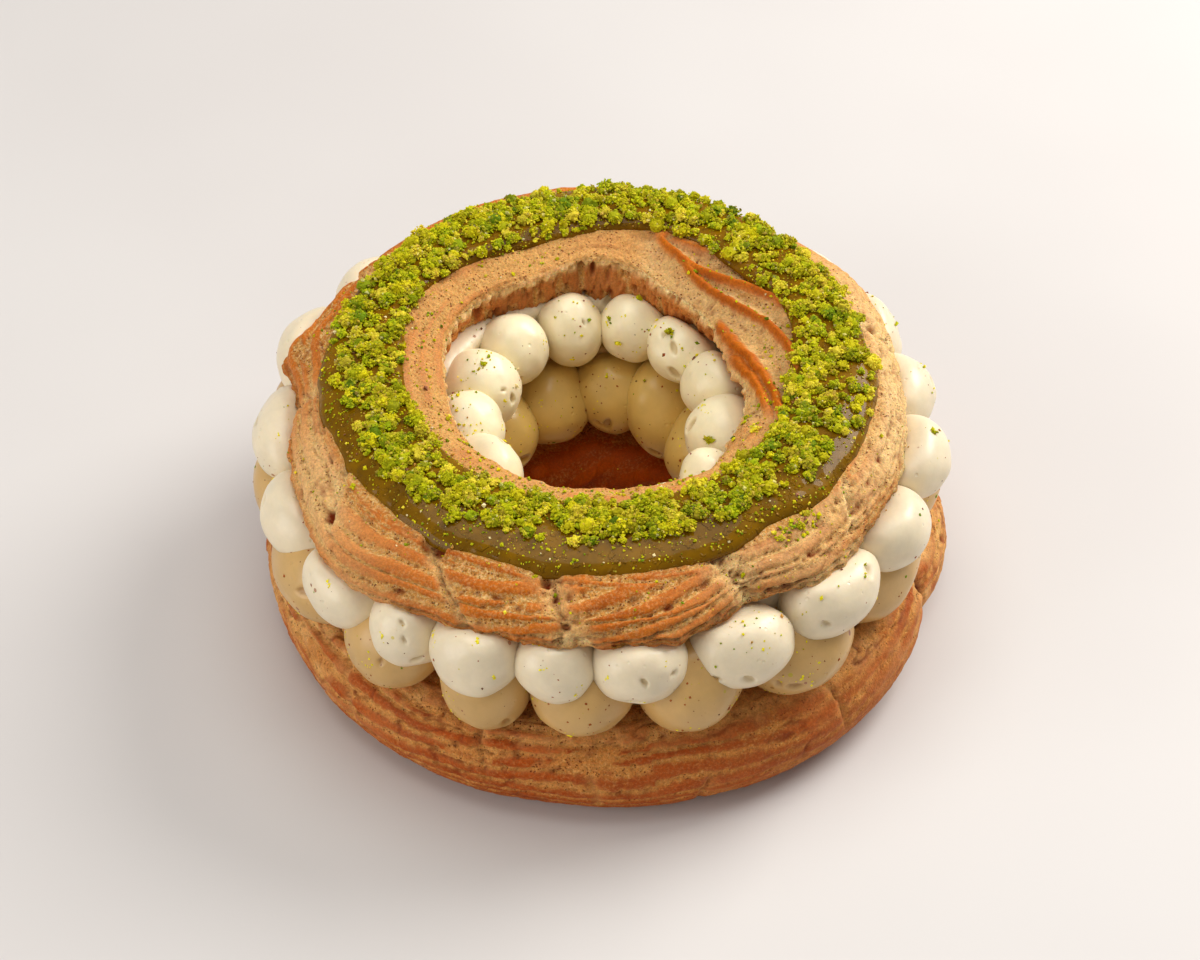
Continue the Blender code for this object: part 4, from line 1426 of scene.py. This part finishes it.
def glaze_material():
    material, wires, shader, place = new_material("pistachio glaze", 0.3)
    patches = wires.ramp(wires.noise(place, 120.0, 3.0, 0.6), 0.35, 0.7)
    base = wires.mix(patches, colour(srgb(110, 76, 0)), colour(srgb(134, 94, 0)))
    specks = wires.ramp(wires.cells(place, 700.0), 0.22, 0.10)
    seldom = wires.ramp(wires.noise(place, 300.0, 1.0, 0.5), 0.52, 0.62)
    base = wires.mix(wires.math("MULTIPLY", specks, seldom), base, colour(srgb(196, 186, 60)))
    wires.feed(shader.inputs["Base Color"], base)
    shader.inputs["Specular IOR Level"].default_value = 0.05
    shader.inputs["Coat Weight"].default_value = 0.2
    shader.inputs["Coat Roughness"].default_value = 0.03
    shader.inputs["Subsurface Weight"].default_value = 0.15
    shader.inputs["Subsurface Radius"].default_value = (1.0, 0.9, 0.2)
    shader.inputs["Subsurface Scale"].default_value = 0.0015
    bump = wires.add("Bump")
    bump.inputs["Strength"].default_value = 0.8
    bump.inputs["Distance"].default_value = 0.5 * MM
    beads = wires.ramp(wires.noise(place, 520.0, 2.0, 0.5), 0.55, 0.70)
    wires.feed(bump.inputs["Height"], wires.math("MULTIPLY_ADD", wires.noise(place, 110.0, 2.0, 0.5), 1.2, beads))
    wires.feed(shader.inputs["Normal"], bump.outputs["Normal"])
    return material


def crumb_material():
    material, wires, shader, place = new_material("ground pistachio", 0.7)
    shader.inputs["Specular IOR Level"].default_value = 0.12
    shade = wires.ramp(wires.noise(place, 2200.0, 2.0, 0.6), 0.3, 0.7, 0.8, 1.15)
    tint = wires.attribute("tint", "Color")
    wires.feed(shader.inputs["Base Color"], wires.mix(1.0, tint, shade, "MULTIPLY"))
    shader.inputs["Subsurface Weight"].default_value = 0.2
    shader.inputs["Subsurface Radius"].default_value = (1.0, 1.0, 0.3)
    shader.inputs["Subsurface Scale"].default_value = 0.0008
    return material


def floor_material():
    material, wires, shader, place = new_material("pale stone floor", 0.55)
    cloud = wires.ramp(wires.noise(place, 3.0, 3.0, 0.5), 0.3, 0.7)
    tone = wires.mix(cloud, colour(srgb(208, 203, 200)), colour(srgb(215, 211, 208)))
    wires.feed(shader.inputs["Base Color"], tone)
    return material


# ---------------------------------------------------------------- the scene


def make_floor(material):
    bm = bmesh.new()
    bmesh.ops.create_grid(bm, x_segments=2, y_segments=2, size=3.0)
    mesh = bpy.data.meshes.new("floor")
    bm.to_mesh(mesh)
    bm.free()
    mesh.materials.append(material)
    floor = bpy.data.objects.new("floor", mesh)
    bpy.context.scene.collection.objects.link(floor)


def area_light(name, place, size, power, tint, shine=1.0):
    light = bpy.data.lights.new(name, "AREA")
    light.shape = "DISK"
    light.size = size
    light.energy = power
    light.color = tint
    light.specular_factor = shine
    obj = bpy.data.objects.new(name, light)
    obj.location = place
    obj.rotation_euler = (Vector((0, 0, 0.04)) - Vector(place)).to_track_quat("-Z", "Y").to_euler()
    bpy.context.scene.collection.objects.link(obj)


CAMERA_ELEVATION = math.radians(43.5)
CAMERA_DISTANCE = 0.650
CAMERA_AIM = AXIS + np.array([0.53, 0.0, 33.9]) * MM


def make_camera():
    camera = bpy.data.cameras.new("camera")
    camera.lens = 68.745
    camera.sensor_width = 36.0
    camera.clip_start = 0.01
    obj = bpy.data.objects.new("camera", camera)
    back = np.array([0.0, -math.cos(CAMERA_ELEVATION), math.sin(CAMERA_ELEVATION)])
    obj.location = CAMERA_AIM + back * CAMERA_DISTANCE
    obj.rotation_euler = (math.pi / 2 - CAMERA_ELEVATION, 0.0, 0.0)
    bpy.context.scene.collection.objects.link(obj)
    bpy.context.scene.camera = obj


def make_world():
    world = bpy.data.worlds.new("soft sky")
    world.use_nodes = True
    sky = world.node_tree.nodes["Background"]
    sky.inputs["Color"].default_value = (1.0, 0.98, 0.96, 1.0)
    sky.inputs["Strength"].default_value = 0.30
    bpy.context.scene.world = world


def main():
    choux = choux_group()
    flecks = fleck_group()
    # The third colour of each crust is its Pit Colour, painted shade in pits, cracks and pores.
    lid_skin = choux_material(
        "baked choux, lid", choux, srgb(192, 102, 12), srgb(208, 146, 70), srgb(126, 42, 2), srgb(248, 214, 150)
    )
    base_skin = choux_material(
        "baked choux, base", choux, srgb(172, 72, 0), srgb(200, 120, 42), srgb(110, 32, 0), srgb(238, 184, 112)
    )
    # The second colour of each cream is painted shade in its craters and holes.
    vanilla = cream_material(
        "vanilla cream", flecks, srgb(235, 219, 187), srgb(206, 180, 130), srgb(168, 104, 60), srgb(214, 196, 24), 0.15, 0.36
    )
    praline = cream_material(
        "praline cream", flecks, srgb(206, 166, 102), srgb(170, 124, 66), srgb(146, 72, 34), srgb(190, 170, 30), 0.26, 0.34
    )
    glaze = glaze_material()
    crumbs = crumb_material()

    # Brighter copies of the creams for the domes in the hole: painted bounce light from the cream round them.
    bounce_lit_praline = cream_material(
        "praline cream in the hole, painted bounce light", flecks, srgb(222, 186, 104), srgb(180, 136, 60), srgb(150, 80, 36), srgb(196, 172, 30), 0.26, 0.3
    )
    bounce_lit_vanilla = cream_material(
        "vanilla cream in the hole, painted bounce light", flecks, srgb(247, 233, 194), srgb(206, 180, 124), srgb(168, 104, 60), srgb(214, 196, 24), 0.15, 0.36
    )
    make_base(base_skin)
    make_lid(lid_skin)
    make_core("praline_core", 26 * MM, 50 * MM, 41 * MM, 80 * MM, praline, "praline_cream", 111)
    make_core("vanilla_core", 44 * MM, 62.5 * MM, 45 * MM, 80 * MM, vanilla, "vanilla_cream", 121, 1.0)
    for name, row in ROWS.items():
        kind = name.split("_")[0]
        inside = name.endswith("inner")
        # The domes in the hole take the brighter copies with painted bounce light.
        if kind == "vanilla":
            cream = bounce_lit_vanilla if inside else vanilla
        else:
            cream = bounce_lit_praline if inside else praline
        node = kind + "_cream"
        make_domes(name + "_domes", row, inside, cream, node)
    make_glaze(glaze)
    make_crumbs(crumbs)
    make_flecks(crumbs)

    make_floor(floor_material())
    make_world()
    area_light("window", (0.80, 0.54, 0.82), 0.75, 14.2, (1.0, 0.975, 0.94))
    area_light("ceiling", (-0.05, 0.10, 1.25), 1.1, 7.2, (1.0, 0.985, 0.96), 0.15)
    area_light("fill", (-0.85, -0.50, 0.38), 0.7, 4.1, (1.0, 0.985, 0.97), 0.4)
    make_camera()
    bpy.context.scene.view_settings.view_transform = "Standard"


main()
